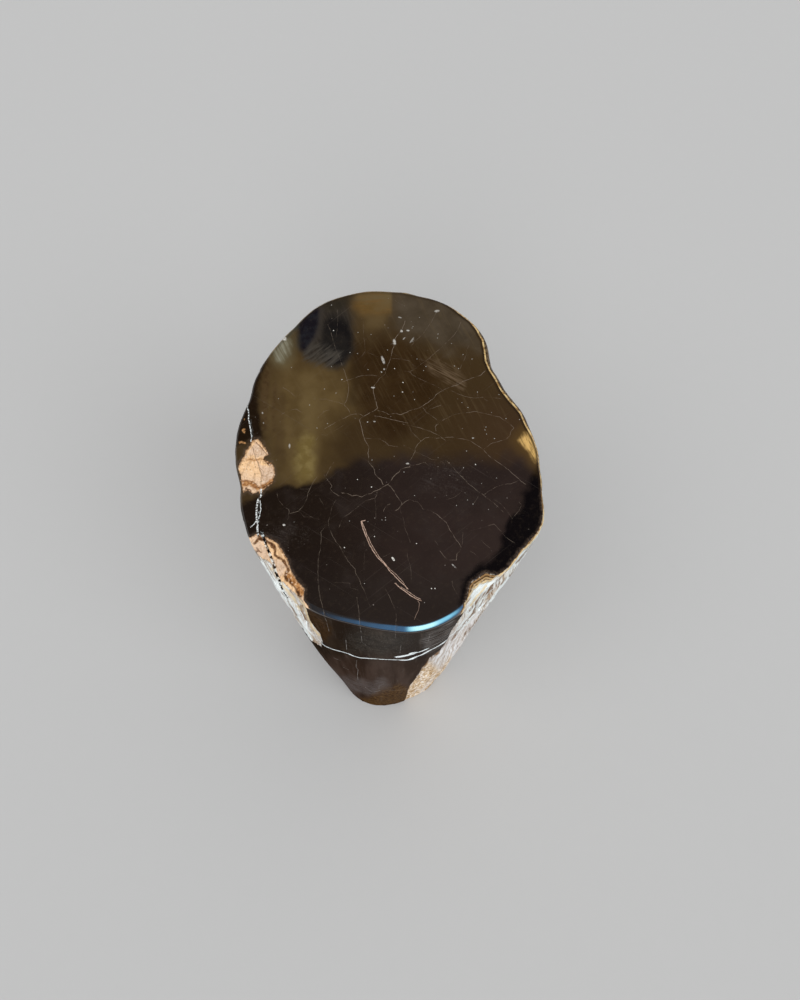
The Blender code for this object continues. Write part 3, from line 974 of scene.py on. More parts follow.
AZ, V = unlay(D)
TOP = V <= 0
P = np.zeros((len(D), 3))
OUT = np.zeros((len(D), 3))
OUT[TOP, 2] = 1
P[TOP, :2] = D[TOP] / GAUGE + POLE
PX = top_px(D)
drop, s_patch, s_left, s_right = broken(PX)
P[TOP, 2] = HEIGHT - drop[TOP]
P[~TOP], OUT[~TOP] = surface(AZ[~TOP], V[~TOP])
Z0 = P[:, 2].copy()

# ---- marks and zones at each point ----------------------------------------------------------
hair = ribbon_field(D, ("hair",))
white = ribbon_field(D, ("white",))
opened = ribbon_field(D, ("open",))
scratch = ribbon_field(D, ("scratch",))
seam = ribbon_field(D, ("seam",))
chip = chip_field(D)

skin = np.where(V > EDGE_V * 0.55, skin_distance(AZ, V, Z0), -30.0)
# the skin shows at once where the edge is chipped, and just under the edge elsewhere
side_of_break = np.maximum(s_left, s_right)
under = (V - EDGE_V * 0.55) / MM
skin = np.where(V > 0, np.minimum(skin, np.where(side_of_break > 0, 30.0, under * 0.9 - 1.0)), skin)
SEEN = np.where((V <= EDGE_V)[:, None], project(P), PX)
pale_left, pale_right = pale_zone(SEEN)
pale = np.where(V <= EDGE_V, np.maximum(np.minimum(pale_left, s_left + 1.0),
                                        np.minimum(pale_right, s_right + 1.0)), -30.0)
skin = np.maximum(skin, pale)
pocket = np.where(V <= EDGE_V, np.maximum(np.maximum(s_patch, s_left), s_right), -30.0)
pocket = np.where((V > EDGE_V) & (side_of_break > -3), -3.0, pocket)
pocket = np.maximum(pocket, -30)

# ---- relief ---------------------------------------------------------------------------------
G = grain(AZ, Z0)
# on the pale parts of the breaks the fibres run on along the strips below them
LEFT_RUN = ((253, 548), (269, 576.6), (289, 603), (300, 619), (305, 630), (316, 650))
RIGHT_RUN = ((548, 490), (545, 527), (530, 550), (515, 570), (502, 587), (488, 603), (470, 627),
             (445, 665))
for run_px, az0, turn_sign, part in ((LEFT_RUN, 226.0, 1.6, pale_left),
                                     (RIGHT_RUN, 322.0, -1.6, pale_right)):
    here = (V <= EDGE_V) & (part > -1.5)
    far, along = segments_distance(project(P[here]), np.array(run_px, float))
    G[here] = grain(az0 + turn_sign * far, 0.455 - 0.20 * along)
mask = smoothstep(skin, -0.6, 2.2)
broad = fbm(G * np.array((60, 60, 5.0)), 3, 41)
fibre = fbm(G * np.array((210, 210, 12.0)), 2, 42)
steps = fbm(G * np.array((70, 70, 26.0)), 2, 43)
steps = smoothstep(steps, 0.05, 0.16) - 0.5
relief = mask * (-1.0 + 1.9 * broad + 1.1 * fibre + 0.9 * steps) * np.where(V < EDGE_V, 0.35, 1.0)
bites = -2.3 * smoothstep(fbm(G * np.array((60, 60, 34.0)), 3, 47), 0.14, 0.34)
relief = relief + mask * bites * smoothstep(V / MM, 8, 20)
panel = (1 - mask) * smoothstep(V / MM, 12, 30) * 0.5 * fbm(G * np.array((26, 26, 7.0)), 2, 44)
groove = -(0.55 * white * (V > EDGE_V) + 1.3 * opened + 0.16 * scratch + 0.10 * hair
           + 0.25 * seam)
rough_pocket = smoothstep(pocket, 0.2, 2.5) * 0.35 * fbm(flat3(D * 0.5), 3, 45)
fade = 1 - smoothstep(V / MM, (EDGE_V + SIDE_V) / MM - 4, (EDGE_V + SIDE_V) / MM)
low = smoothstep(V / MM, (EDGE_V + SIDE_V) / MM - 30, (EDGE_V + SIDE_V) / MM - 4)
ragged = -low * 2.2 * np.abs(fbm(G * np.array((55, 55, 60.0)), 3, 46))
move = (relief + panel + groove + rough_pocket) * fade + ragged * np.where(V < END_V - 0.001, 1, 0)
move = np.where(V > EDGE_V + SIDE_V + FOOT_V * 0.75, 0, move)
P += OUT * (move * MM)[:, None]
P[:, 2] = np.minimum(P[:, 2], HEIGHT)
P[V > END_V - 1e-4, 2] = 0.0

# ---- the base -------------------------------------------------------------------------------
rim = np.flatnonzero(V > END_V - 1e-4)
rim = rim[np.argsort(AZ[rim])]
centre_id = len(P)
P = np.vstack([P, [[-0.007, -0.019, 0.0]]])
base_faces = np.stack([np.roll(rim, -1), rim, np.full(len(rim), centre_id)], 1)
F = np.vstack([F, base_faces])


def extend(a, value):
    return np.concatenate([a, [value]])


print("stump: vertices", len(P), "triangles", len(F), "skin edges",
      LEFT_AZ.round(1), RIGHT_AZ.round(1), (RIGHT_V / MM).round(0))

mesh = bpy.data.meshes.new("stump")
mesh.from_pydata([tuple(p) for p in P], [], [tuple(map(int, f)) for f in F])
mesh.update()
mesh.shade_smooth()


def attribute(name, values, kind="FLOAT"):
    at = mesh.attributes.new(name, kind, "POINT")
    values = np.asarray(values, np.float32)
    at.data.foreach_set("value" if kind == "FLOAT" else "vector", values.ravel())


attribute("grain", np.vstack([G, [[0, 0, 0]]]), "FLOAT_VECTOR")
attribute("marks", np.column_stack([extend(hair, 0), extend(white, 0), extend(chip, 0)]),
          "FLOAT_VECTOR")
attribute("marks2", np.column_stack([extend(opened, 0), extend(scratch, 0), extend(seam, 0)]),
          "FLOAT_VECTOR")
attribute("zones", np.column_stack([extend(skin, -30), extend(pocket, -30),
                                    extend(np.where(TOP, -30.0, V / MM), 600)]), "FLOAT_VECTOR")

# How much each place mirrors: the polished edge of the front most, its wall least.
at_front = smoothstep(AZ, 228, 242) * (1 - smoothstep(AZ, 300, 310))
vmm = np.where(TOP, 0.0, V / MM)
to_right = smoothstep(AZ, 252, 270)
edge_from, edge_to = 1.4 - 0.4 * to_right, 10.4 + 0.6 * to_right
on_edge = smoothstep(vmm, edge_from, edge_from + 1.3) * (1 - smoothstep(vmm, edge_to, edge_to + 1.2))
wall_shine = (np.interp(vmm, (12, 60, 160, 480), (0.11, 0.09, 0.05, 0.03))
              * (0.15 + 0.85 * smoothstep(AZ, 258, 272)))
shine = np.where(TOP, 0.24, at_front * np.maximum(on_edge, wall_shine)
                 + (1 - at_front) * 0.34)

# ---- tones of the polished top, signed distances in pixels -------------------------------------
ON = V < EDGE_V * 1.2
drag = np.stack([fbm(flat3(PX * 0.075), 3, 51), fbm(flat3(PX * 0.075 + 40), 3, 52)], 1)
WPX = PX + np.where(ON[:, None], 6.5 * drag, 0.0)


NPX = PX + np.where(ON[:, None], 2.0 * drag, 0.0)


def zone(pts):
    return np.where(ON, signed(WPX, np.array(pts, float)), -60.0)


def near_zone(pts):
    return np.where(ON, signed(NPX, np.array(pts, float)), -60.0)


def stroke(pts, half):
    return np.where(ON, half - segments_distance(NPX, np.array(pts, float))[0], -60.0)


def most(*parts):
    return np.maximum.reduce(parts)


# the black front of the top; its edge is where the painted reflection of the room, which browns the back half,
# ends
FRONT = ((200, 510), (240, 505), (262, 496), (275, 491.5), (288, 484.5), (300, 483), (315, 481),
         (330, 472), (345, 463), (360, 458), (380, 459), (400, 455), (430, 457), (450, 459),
         (470, 458), (500, 460), (520, 458), (533, 461), (560, 458), (600, 440), (600, 800),
         (200, 800))
BLACK_RIGHT = ((548, 462), (539, 465), (533, 475), (528, 487), (523, 495), (521, 507), (515, 518),
               (508, 528), (503, 540), (497, 552), (489, 563), (479, 572), (470, 579), (464, 588),
               (464, 600), (464, 615), (600, 615), (600, 462))
BLACK_LEFT = ((266, 356), (259, 376), (257, 395), (257, 410), (260, 424), (261, 437), (252, 440),
              (230, 445), (230, 356))
# painted reflection: a dark mirrored shape at the back left of the top
DARK_REFLECTION = ((296, 310), (306, 302), (322, 298), (345, 298), (353, 318), (353, 350), (344, 366), (328, 368),
        (308, 360), (297, 345))
# painted reflection: a grey-brown sheen over the back right of the top
HAZE = ((392, 286), (440, 290), (470, 312), (482, 335), (476, 350), (452, 352), (425, 342),
        (404, 336), (396, 325), (391, 308))
# painted reflection: more dark mirrored shapes at the back left, and painted brushed light between them
SLAB = ((311, 304), (321, 306), (320, 318), (318, 330), (313, 341), (307, 350), (300, 349),
        (298.5, 338), (299, 326), (303, 315), (306, 308))
OVAL = ((325, 322), (332, 317), (341, 317), (348, 324), (351, 338), (350, 350), (345, 360),
        (338, 366), (330, 364), (325, 354), (323, 340), (323, 330))
RIM_DARK = ((298, 303), (314, 296), (330, 292), (346, 290), (354, 294), (350, 303), (340, 309),
            (326, 309), (312, 309), (302, 310))
FAN = ((303, 350), (314, 342), (326, 345), (342, 352), (342, 364), (330, 369), (314, 367),
       (303, 361))
MID_BROWN = ((352, 352), (380, 340), (420, 346), (442, 372), (440, 400), (420, 425), (395, 440),
             (370, 432), (354, 402))
# painted reflection: the olive patch on the left of the top, and within it a smaller painted highlight
OLIVE_MASS = ((280, 358), (300, 364), (330, 372), (347, 388), (345, 408), (332, 426), (324, 446),
              (318, 470), (306, 482), (290, 480), (280, 470), (277, 440), (274, 410), (275, 380))
OLIVE = ((297, 440), (302, 433), (311, 434), (315, 446), (317, 460), (314, 474), (308, 481),
         (301, 478), (297, 462))
# painted reflection of a golden-brown object at the back of the top, in two parts
GOLD = ((354, 292), (372, 287), (393, 286), (392, 300), (391, 312), (378, 316), (362, 315),
        (355, 308))
GOLD_LOW = ((362, 313), (378, 313), (386, 318), (382, 325), (370, 330), (362, 324))
# painted highlight: a warm glint near the right edge of the top
GLOW = ((517, 440), (523, 433), (530, 428), (537, 438), (541, 452), (540, 463), (534, 463),
        (529, 452), (521, 445))
BRUSH = ((423, 359), (436, 360), (452, 368), (464, 382), (463, 389), (449, 384), (432, 374))

black = most(zone(BLACK_RIGHT))
tone = {
    "tone_a": (zone(FRONT), black, zone(HAZE)),
    "tone_b": (near_zone(SLAB), near_zone(OVAL), near_zone(RIM_DARK)),
    "tone_c": (near_zone(FAN), stroke(((322, 308), (321, 320), (318, 331), (313, 343), (306, 355)), 2.0),
               # painted reflection: a teal streak at the back left
               stroke(((278, 342), (285, 334), (292, 328), (299, 318)), 3.0)),
    # painted reflection: the pale green patch at the back left
    "tone_d": (most(near_zone(((272, 350), (280, 340), (288, 338), (291, 344), (288, 353), (283, 362),
                               (277, 360)))),
               zone(OLIVE_MASS), zone(OLIVE)),
    "tone_e": (near_zone(GOLD), near_zone(GOLD_LOW), near_zone(GLOW)),
    "tone_f": (zone(BRUSH),
               most(zone(((424, 462), (445, 458), (468, 470), (476, 488), (450, 496), (420, 488))),
                    zone(((268, 524), (284, 524), (308, 530), (310, 544), (290, 546), (272, 536)))),
               most(stroke(((267, 374), (265, 400), (264, 428)), 3.2),
                    stroke(((275, 384), (274, 404), (273, 430)), 1.6))),
    # painted reflections at the back: a dark mirrored shape, and a beige patch below the golden-brown one
    "tone_h": (near_zone(DARK_REFLECTION), near_zone(((368, 316), (380, 315), (384, 320), (379, 326), (369, 325))),
               np.full(len(PX), -60.0)),
    "tone_g": (near_zone(BLACK_LEFT), zone(MID_BROWN),
               most(stroke(((355, 345), (357, 372), (352, 400)), 5.0),
                    zone(((405, 583), (418, 578), (428, 588), (420, 598), (408, 596))))),
}
for name, parts in tone.items():
    attribute(name, np.vstack([np.column_stack(parts), [[-60, -60, -60]]]), "FLOAT_VECTOR")

# how far across and how far forward on the top, for the broad drift of its colour
drift = np.column_stack([np.where(ON, PX[:, 0], 400.0) / 100, np.where(ON, PX[:, 1], 500.0) / 100,
                         np.where(ON, 1.0, 0.0)])
attribute("drift", np.vstack([drift, [[4, 5, 0]]]), "FLOAT_VECTOR")

# ---- tones in the pockets ----------------------------------------------------------------------
IN = pocket > -4
QPX = SEEN + np.where(IN[:, None], 0.9 * np.stack([fbm(flat3(PX * 0.30), 2, 61),
                                                   fbm(flat3(PX * 0.30 + 9), 2, 62)], 1), 0.0)


def in_zone(pts):
    return np.where(IN, signed(QPX, np.array(pts, float)), -30.0)


def in_stroke(pts, half):
    return np.where(IN, half - segments_distance(QPX, np.array(pts, float))[0], -30.0)


RUST_LINE = ((258, 534.5), (262.7, 538.8), (267.4, 541.4), (270.8, 543.5), (275.1, 548.3),
             (274.7, 555), (278.6, 557.7), (282.9, 559.5), (286.3, 564.6), (288, 569.8),
             (284.8, 576.5), (287.2, 580), (289.8, 580.3), (293.2, 585.3), (296.7, 590.5),
             (300, 596.5))
rust = most(in_stroke(RUST_LINE, 1.25), in_stroke(((254, 544), (258.5, 538), (262.2, 539.6)), 1.3),
            in_stroke(((256.5, 548), (261, 553)), 0.7), in_stroke(((252.5, 550), (258, 551.5)), 0.6),
            in_stroke(((264.5, 458.8), (267, 461), (269.5, 463.5)), 1.7),
            in_stroke(((262.5, 488.5), (267, 485.5), (271.5, 482.5)), 0.6),
            in_stroke(((238, 462), (237.5, 467)), 1.5),
            in_stroke(((243, 492), (246, 488.5), (250, 491)), 0.8))
amber = most(in_zone(((239, 480.5), (246, 480), (252, 480.5), (257, 484), (261, 489), (258, 491),
                      (254, 487.5), (249, 486), (245, 488), (241, 490))),
             in_stroke(((247, 459.5), (257, 460), (267, 458.5)), 0.9),
             in_stroke(((263, 486.5), (268, 484), (273, 480)), 2.2),
             in_stroke(((257, 534), (262, 537.5)), 1.6),
             in_stroke(((289, 577), (293, 580.5), (297, 586), (301.5, 593)), 3.0),
             in_stroke(((279.5, 546), (284, 553), (288.5, 562)), 0.8))
pinkish = most(in_zone(((258, 462), (262, 465), (272, 466), (275, 475), (271, 482), (263, 484),
                        (261, 474))),
               in_zone(((252, 446), (256, 440), (267, 455), (258, 457), (248, 455))),
               in_zone(((252, 546), (259, 542), (265, 547), (271, 559), (265, 560), (256, 554))),
               in_zone(((270, 560), (280, 559), (286, 566), (284, 575), (279, 578), (274, 567))))
attribute("pocket_tone", np.vstack([np.column_stack([rust, amber, pinkish]), [[-30, -30, -30]]]),
          "FLOAT_VECTOR")
ledge = np.where(IN, s_right, -30.0)
ring = np.hypot((PX[:, 0] - 244) * 1.1, (PX[:, 1] - 430.5) * 0.75)
ring = ring + 3.2 * np.abs(fbm(flat3(PX * 0.50), 2, 63))
orange = np.where(TOP, most(2.6 - ring, 0.9 - np.hypot(PX[:, 0] - 244, PX[:, 1] - 419.5),
                            0.9 - segments_distance(PX, ((238.5, 443), (241.5, 442), (245, 443)))[0],
                            0.5 - np.hypot(PX[:, 0] - 241, PX[:, 1] - 425)), -30.0)
attribute("extra", np.vstack([np.column_stack([ledge, orange, shine]), [[-30, -30, 0.1]]]),
          "FLOAT_VECTOR")

# ---- tones down the front wall -------------------------------------------------------------------
APX = project(P[:-1])
FACE = (AZ > 226) & (AZ < 312) & (V > 0)
APX = APX + np.where(FACE[:, None], 3.0 * np.stack([fbm(flat3(APX * 0.10), 2, 71),
                                                    fbm(flat3(APX * 0.10 + 9), 2, 72)], 1), 0.0)


def wall_zone(pts):
    return np.where(FACE, signed(APX, np.array(pts, float)), -60.0)


def wall_stroke(pts, half):
    return np.where(FACE, half - segments_distance(APX, np.array(pts, float))[0], -60.0)


# on the front wall the grey strokes near the foot and the lighter grey-brown below the white ring crack are the
# stone's brown with a painted reflection of the floor
wall_a = (wall_zone(((304, 604), (312, 611), (322, 619), (330, 628), (328, 640), (318, 640),
                     (308, 622))),
          most(wall_stroke(((344, 682), (358, 686), (372, 689), (384, 686)), 5.0),
               wall_stroke(((334, 676), (346, 690)), 4.0)),
          wall_zone(((370, 697), (386, 689), (402, 686), (411, 690), (406, 706), (386, 714), (352, 712),
                     (346, 704))))
wall_b = (wall_zone(((350, 634), (385, 632), (402, 636), (402, 652), (385, 656), (352, 652))),
          wall_zone(((424, 640), (440, 628), (452, 622), (450, 634), (440, 648), (426, 652))),
          np.where(FACE, APX[:, 1] - 655.0, -60.0))
attribute("wall_a", np.vstack([np.column_stack(wall_a), [[-60, -60, -60]]]), "FLOAT_VECTOR")
attribute("wall_b", np.vstack([np.column_stack(wall_b), [[-60, -60, -60]]]), "FLOAT_VECTOR")
STRIP = (((AZ > 212) & (AZ < 348) & (V > 0)) | (pale > -2.5))
SPX = project(P[:-1])
SPX = SPX + np.where(STRIP[:, None], 0.8 * np.stack([fbm(flat3(SPX * 0.22), 2, 81),
                                                     fbm(flat3(SPX * 0.22 + 9), 2, 82)], 1), 0.0)


def strip_zone(pts):
    return np.where(STRIP, signed(SPX, np.array(pts, float)), -60.0)


def strip_lines(*rows):
    return most(*[np.where(STRIP, half - segments_distance(SPX, np.array(pts, float))[0], -60.0)
                  for half, pts in rows])


strip_a = (strip_zone(((398, 706), (402, 690), (408, 680), (418, 670), (428, 663), (438, 670),
                       (450, 662), (456, 668), (440, 690), (420, 704))),
           strip_zone(((428, 664), (440, 650), (452, 636), (464, 622), (480, 612), (474, 636),
                       (460, 655), (444, 672), (434, 670))),
           strip_lines((0.55, ((473, 611), (480, 601), (488, 591), (498, 580))),
                       (0.5, ((478, 613), (487, 602), (496, 590), (506, 578))),
                       (0.6, ((544, 529), (536, 540), (526, 552), (516, 563))),
                       (0.5, ((541, 537), (532, 549), (520, 563), (509, 576))),
                       (0.5, ((462, 640), (470, 629), (480, 616), (490, 604), (499, 593))),
                       (0.45, ((456, 648), (463, 639), (469, 631))),
                       (0.45, ((254, 550), (262, 560), (269, 571), (275, 581))),
                       (0.5, ((281, 591), (289, 603), (296, 615), (303, 628))),
                       (1.1, ((446, 643), (438, 652), (428, 660.5), (422, 669), (417, 677))),
                       (0.9, ((291, 590), (298, 604), (305, 618), (311, 630))),
                       (0.7, ((300, 600), (305, 612), (309, 622), (316, 634))),
                       (0.8, ((468, 612), (478, 600), (490, 588), (503, 575))),
                       (0.8, ((452, 640), (462, 626), (474, 612), (489, 594), (500, 582))),
                       (0.9, ((465, 634), (476, 621), (483, 611)))))
strip_b = (most(strip_zone(((246, 545), (253, 550), (262, 562), (272, 576), (284, 593), (295, 609),
                            (289, 606), (277, 590), (264, 574), (250, 556))),
                strip_zone(((471, 598), (474, 588), (481, 582.5), (491, 582), (499, 579), (492, 590),
                            (482, 603), (470, 614), (465, 614))),
                strip_lines((2.3, ((259, 558), (268, 571), (277, 584))),
                       (1.7, ((277, 584), (290, 602), (299, 617), (306, 632), (311, 640))),
                       (1.4, ((544, 530), (530, 549), (516, 569), (503, 584), (490, 601))),
                       (1.0, ((500, 578), (486, 594), (472, 612), (458, 628))),
                       (1.0, ((478, 606), (468, 622), (456, 634))))),
           strip_lines((0.9, ((296, 592), (303, 603), (308, 617), (313, 628), (320, 636))),
                       (0.9, ((272, 568), (282, 584), (292, 596), (300, 610))),
                       (0.9, ((470, 606), (477, 597), (486, 586)))),
           strip_lines((1.6, ((313, 634), (319, 643), (322, 649))),
                       (1.5, ((421, 666), (418, 674), (412, 681)))))
attribute("strip_a", np.vstack([np.column_stack(strip_a), [[-60, -60, -60]]]), "FLOAT_VECTOR")
attribute("strip_b", np.vstack([np.column_stack(strip_b), [[-60, -60, -60]]]), "FLOAT_VECTOR")
# along the right and back edge: a gold line that is a painted highlight, a dark line just inside it and a brown
# strip outside it; and painted cool light on the outer side of the strips
turned = (AZ + 180.0) % 360.0 - 180.0
RIM_TRACE = ((440, 300), (450, 306), (460, 313.5), (470, 321), (477, 330), (482.5, 340), (484.5, 350),
             (485.5, 360), (489.5, 370), (496, 380), (501, 390), (509, 400), (516.5, 408), (521, 414),
             (525, 424), (528.5, 430), (533, 438), (537.5, 450), (539.5, 465), (541.3, 480),
             (542, 495), (542.5, 510), (542.5, 530), (540, 560))
_back = np.arange(78.0, 150.0, 4.0)
_rb = outline_radius(_back) - 0.0014
_back_px = project(np.stack([POLE[0] + _rb * np.cos(np.radians(_back)),
                             POLE[1] + _rb * np.sin(np.radians(_back)), np.full(len(_back), HEIGHT)], 1))
_loop = np.vstack([[(300, 600)], _back_px[::-1], np.array(RIM_TRACE, float)])
RPX = project(P[:-1])
beside = ((turned > -30) & (turned < 154)) & (V < 0.013)
rim_line_px = np.where(beside, signed(RPX, _loop), 30.0)
rim_line_px = np.where(beside & (V > 0.006), np.minimum(rim_line_px, -1.6), rim_line_px)
tone_and_painted_light = (smoothstep(turned, -29, -17) * (1 - smoothstep(turned, 66, 84))
        + 0.34 * smoothstep(turned, 66, 84) * (1 - smoothstep(turned, 132, 146)))
tone_and_painted_light = np.where(V < 0.013, tone_and_painted_light, tone_and_painted_light * (1 - smoothstep(vmm, 14, 22)))
# painted cool light on the outer side of the strips, right and left
cool = np.where((AZ > 296) & (AZ < 350), smoothstep(AZ, 306, 318) * (1 - smoothstep(vmm, 60, 200)), 0)
cool = np.maximum(cool, np.where((AZ > 214) & (AZ < 246), 1 - smoothstep(AZ, 224, 234), 0))
attribute("tone_and_painted_light", np.vstack([np.column_stack([tone_and_painted_light, rim_line_px, cool]), [[0, 30, 0]]]),
          "FLOAT_VECTOR")

stump = bpy.data.objects.new("stump", mesh)
bpy.context.scene.collection.objects.link(stump)

# ---- material ---------------------------------------------------------------------------------


class Graph:
    """Short names for building a node tree."""

    def __init__(self, tree):
        self.tree = tree
        self.made = {}

    def once(self, make, *parts):
        """What make() gives, made only once for the same parts."""
        key = tuple((p.node.name, p.identifier) if isinstance(p, bpy.types.NodeSocket) else p
                    for p in parts)
        if key not in self.made:
            self.made[key] = make()
        return self.made[key]

    def node(self, kind, inputs=None, **props):
        n = self.tree.nodes.new(kind)
        for k, v in props.items():
            setattr(n, k, v)
        for k, v in (inputs or {}).items():
            self.put(n.inputs[k], v)
        return n

    def put(self, socket, value):
        if isinstance(value, bpy.types.NodeSocket):
            self.tree.links.new(value, socket)
        elif isinstance(value, (tuple, list)) and socket.type == "RGBA" and len(value) == 3:
            socket.default_value = (*value, 1.0)
        else:
            socket.default_value = value

    def attr(self, name):
        return self.once(lambda: self.node("ShaderNodeAttribute", attribute_type="GEOMETRY",
                                           attribute_name=name).outputs["Vector"], "attr", name)

    def split(self, vec):
        n = self.once(lambda: self.node("ShaderNodeSeparateXYZ", {0: vec}), "split", vec)
        return n.outputs[0], n.outputs[1], n.outputs[2]

    def math(self, op, a, b=0.0, clamp=False):
        return self.once(lambda: self.node("ShaderNodeMath", {0: a, 1: b}, operation=op,
                                           use_clamp=clamp).outputs[0], op, a, b, clamp)

    def add(self, a, b):
        return self.math("ADD", a, b)

    def mul(self, a, b):
        return self.math("MULTIPLY", a, b)

    def scale(self, vec, s):
        n = self.node("ShaderNodeVectorMath", {0: vec, 1: s}, operation="MULTIPLY")
        return n.outputs[0]

    def vadd(self, a, b):
        n = self.node("ShaderNodeVectorMath", {0: a, 1: b}, operation="ADD")
        return n.outputs[0]

    def smooth(self, x, lo, hi, to=(0.0, 1.0)):
        return self.once(lambda: self.map(x, lo, hi, to), "smooth", x, lo, hi, to)

    def map(self, x, lo, hi, to):
        n = self.node("ShaderNodeMapRange", interpolation_type="SMOOTHSTEP", clamp=True)
        for k, v in ((0, x), (1, lo), (2, hi), (3, to[0]), (4, to[1])):
            self.put(n.inputs[k], v)
        return n.outputs[0]

    def noise(self, vec, scale, detail=3.0, rough=0.55, warp=0.0):
        n = self.node("ShaderNodeTexNoise", {"Vector": vec, "Scale": scale, "Detail": detail,
                                             "Roughness": rough, "Distortion": warp})
        return n.outputs[0]

    def voronoi(self, vec, scale, feature="F1"):
        n = self.node("ShaderNodeTexVoronoi", {"Vector": vec, "Scale": scale}, feature=feature)
        return n.outputs["Distance"]

    def mix(self, fac, a, b, mode="MIX"):
        n = self.node("ShaderNodeMix", data_type="RGBA", blend_type=mode, clamp_factor=True)
        self.put(n.inputs[0], fac)
        self.put(n.inputs[6], a)
        self.put(n.inputs[7], b)
        return n.outputs[2]

    def blend(self, fac, a, b):
        n = self.node("ShaderNodeMix", data_type="FLOAT", clamp_factor=True)
        self.put(n.inputs[0], fac)
        self.put(n.inputs[2], a)
        self.put(n.inputs[3], b)
        return n.outputs[0]

    def vec(self, x, y, z=0.0):
        n = self.node("ShaderNodeCombineXYZ", {0: x, 1: y, 2: z})
        return n.outputs[0]

    def ramp(self, fac, stops, mode="LINEAR"):
        n = self.node("ShaderNodeValToRGB", {0: fac})
        r = n.color_ramp
        r.interpolation = mode
        while len(r.elements) < len(stops):
            r.elements.new(0.5)
        for e, (pos, col) in zip(r.elements, stops):
            e.position = pos
            e.color = (*col, 1.0)
        return n.outputs[0]


